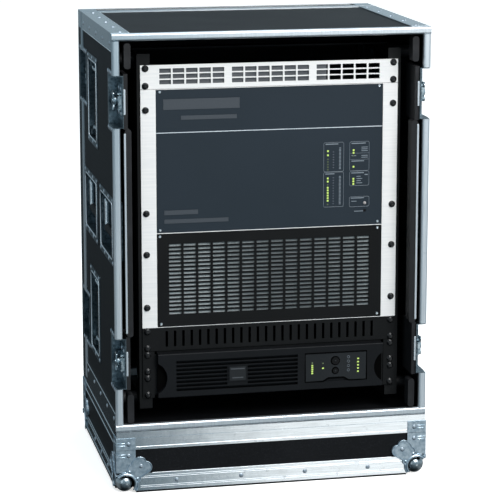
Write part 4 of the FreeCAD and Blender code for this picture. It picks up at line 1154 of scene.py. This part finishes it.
def add_louvre_shade_strips():
    """Painted shade: near-black strips on the floor of each louvre and of the two finger
    recesses, where shade falls.
    """
    half = (bezel_high.x - bezel_low.x) / 2 / MM

    def build(work):
        for row in range(LOUVRES):
            top = LOUVRE_TOP + row * LOUVRE_PITCH
            spans = [LOUVRE_ENDS]
            if BADGE_SPAN[0] < top < BADGE_SPAN[1]:
                spans = [(LOUVRE_ENDS[0], BADGE_ENDS[0]), (BADGE_ENDS[1], LOUVRE_ENDS[1])]
            for start, end in spans:
                left, low = on_rack(start + 0.1, top + LOUVRE_HEIGHT)
                right = on_rack(end - 0.1, 0)[0]
                add_box(
                    work, (left, BEZEL_FACE + 0.3 * MM, low - 0.2 * MM),
                    (right, BEZEL_FACE + 7.5 * MM, low + 0.12 * MM))
        place = front_place(BEZEL_FACE)
        for sign in (-1, 1):
            middle, steps = half + RECESS_OUT, 20
            widest = math.acos((RECESS_OUT + 0.2) / RECESS_RADIUS)
            arc = []
            for step in range(steps + 1):
                turn = -widest + 2 * widest * step / steps
                arc.append((
                    sign * (middle - RECESS_RADIUS * math.cos(turn)),
                    -RECESS_DOWN + RECESS_RADIUS * math.sin(turn)))
            skin(work, [[place(a, b, depth) for a, b in arc] for depth in (-9.7, -8.9)])
    add_built("recess_shade_strips", build, "painted_shade_black")


def add_supply_detail():
    place = front_place(DISPLAY_FACE)

    # Painted shade: near-black beads round the display and round each button, standing in for the
    # shadow lines there
    def shade_lines(work):
        add_bead(work, [place(a, b) for a, b in DISPLAY], (0, -1, 0), 1.5 * MM, True, 8)
        for _, down, radius in BUTTONS:
            ring = circle(place, BUTTON_ACROSS, down, radius)
            add_bead(work, ring, (0, -1, 0), 0.9 * MM, True, 8)
    add_built("display_shade_lines", shade_lines, "painted_shade_black")

    def icons(work):
        for down in (560, 568.5, 577, 585.5):
            add_bead(work, circle(place, 148, down, 2.3), (0, -1, 0), 0.28 * MM, True, 6)
    add_built("display_icons", icons, "grey_ink")
    add_plates("display_marks", [(97.2, 568.8, 2.6, 2.6), (76.6, 566.6, 2.6, 4.2)],
               DISPLAY_FACE, 0.3 * MM, "dim_light", 0.1 * MM)
    for name, down, _ in BUTTONS:
        cap = front_place(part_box(name)[0].y)
        add_built(
            name + "_dot",
            lambda work: add_turned(work, cap, BUTTON_ACROSS, -down, [
                (1.5, -0.2), (1.5, 0.2), (1.1, 0.4), (0.2, 0.42)], 16),
            "badge_plastic", name)
    add_plates("blank_badge", [(-80.6, 566.6, 30.5, 26.6)], BADGE_FACE, 0.7 * MM,
               "badge_plastic", 0.4 * MM)
    add_plates("badge_bars", [(-78.6, 569.4, 26.5, 2.4), (-75.6, 586.6, 20.5, 2.2)],
               BADGE_FACE - 0.7 * MM, 0.3 * MM, "badge_ink")


def build_all():
    dress_nodes()
    for name in nodes:
        if name.endswith("_bail"):
            add_handle(name)
        if name.endswith("_wing"):
            add_wing(name)
    add_window_beads()
    add_latch_guides()
    add_corners()
    add_brace_ribs()
    add_edge_beads()
    add_rim_tongues()
    add_fascia_detail()
    add_indicator_marks()
    add_vent_mesh()
    add_louvre_shade_strips()
    add_supply_detail()


bpy.context.scene.view_settings.view_transform = "Standard"
add_camera()
add_studio()
add_floor()
build_all()
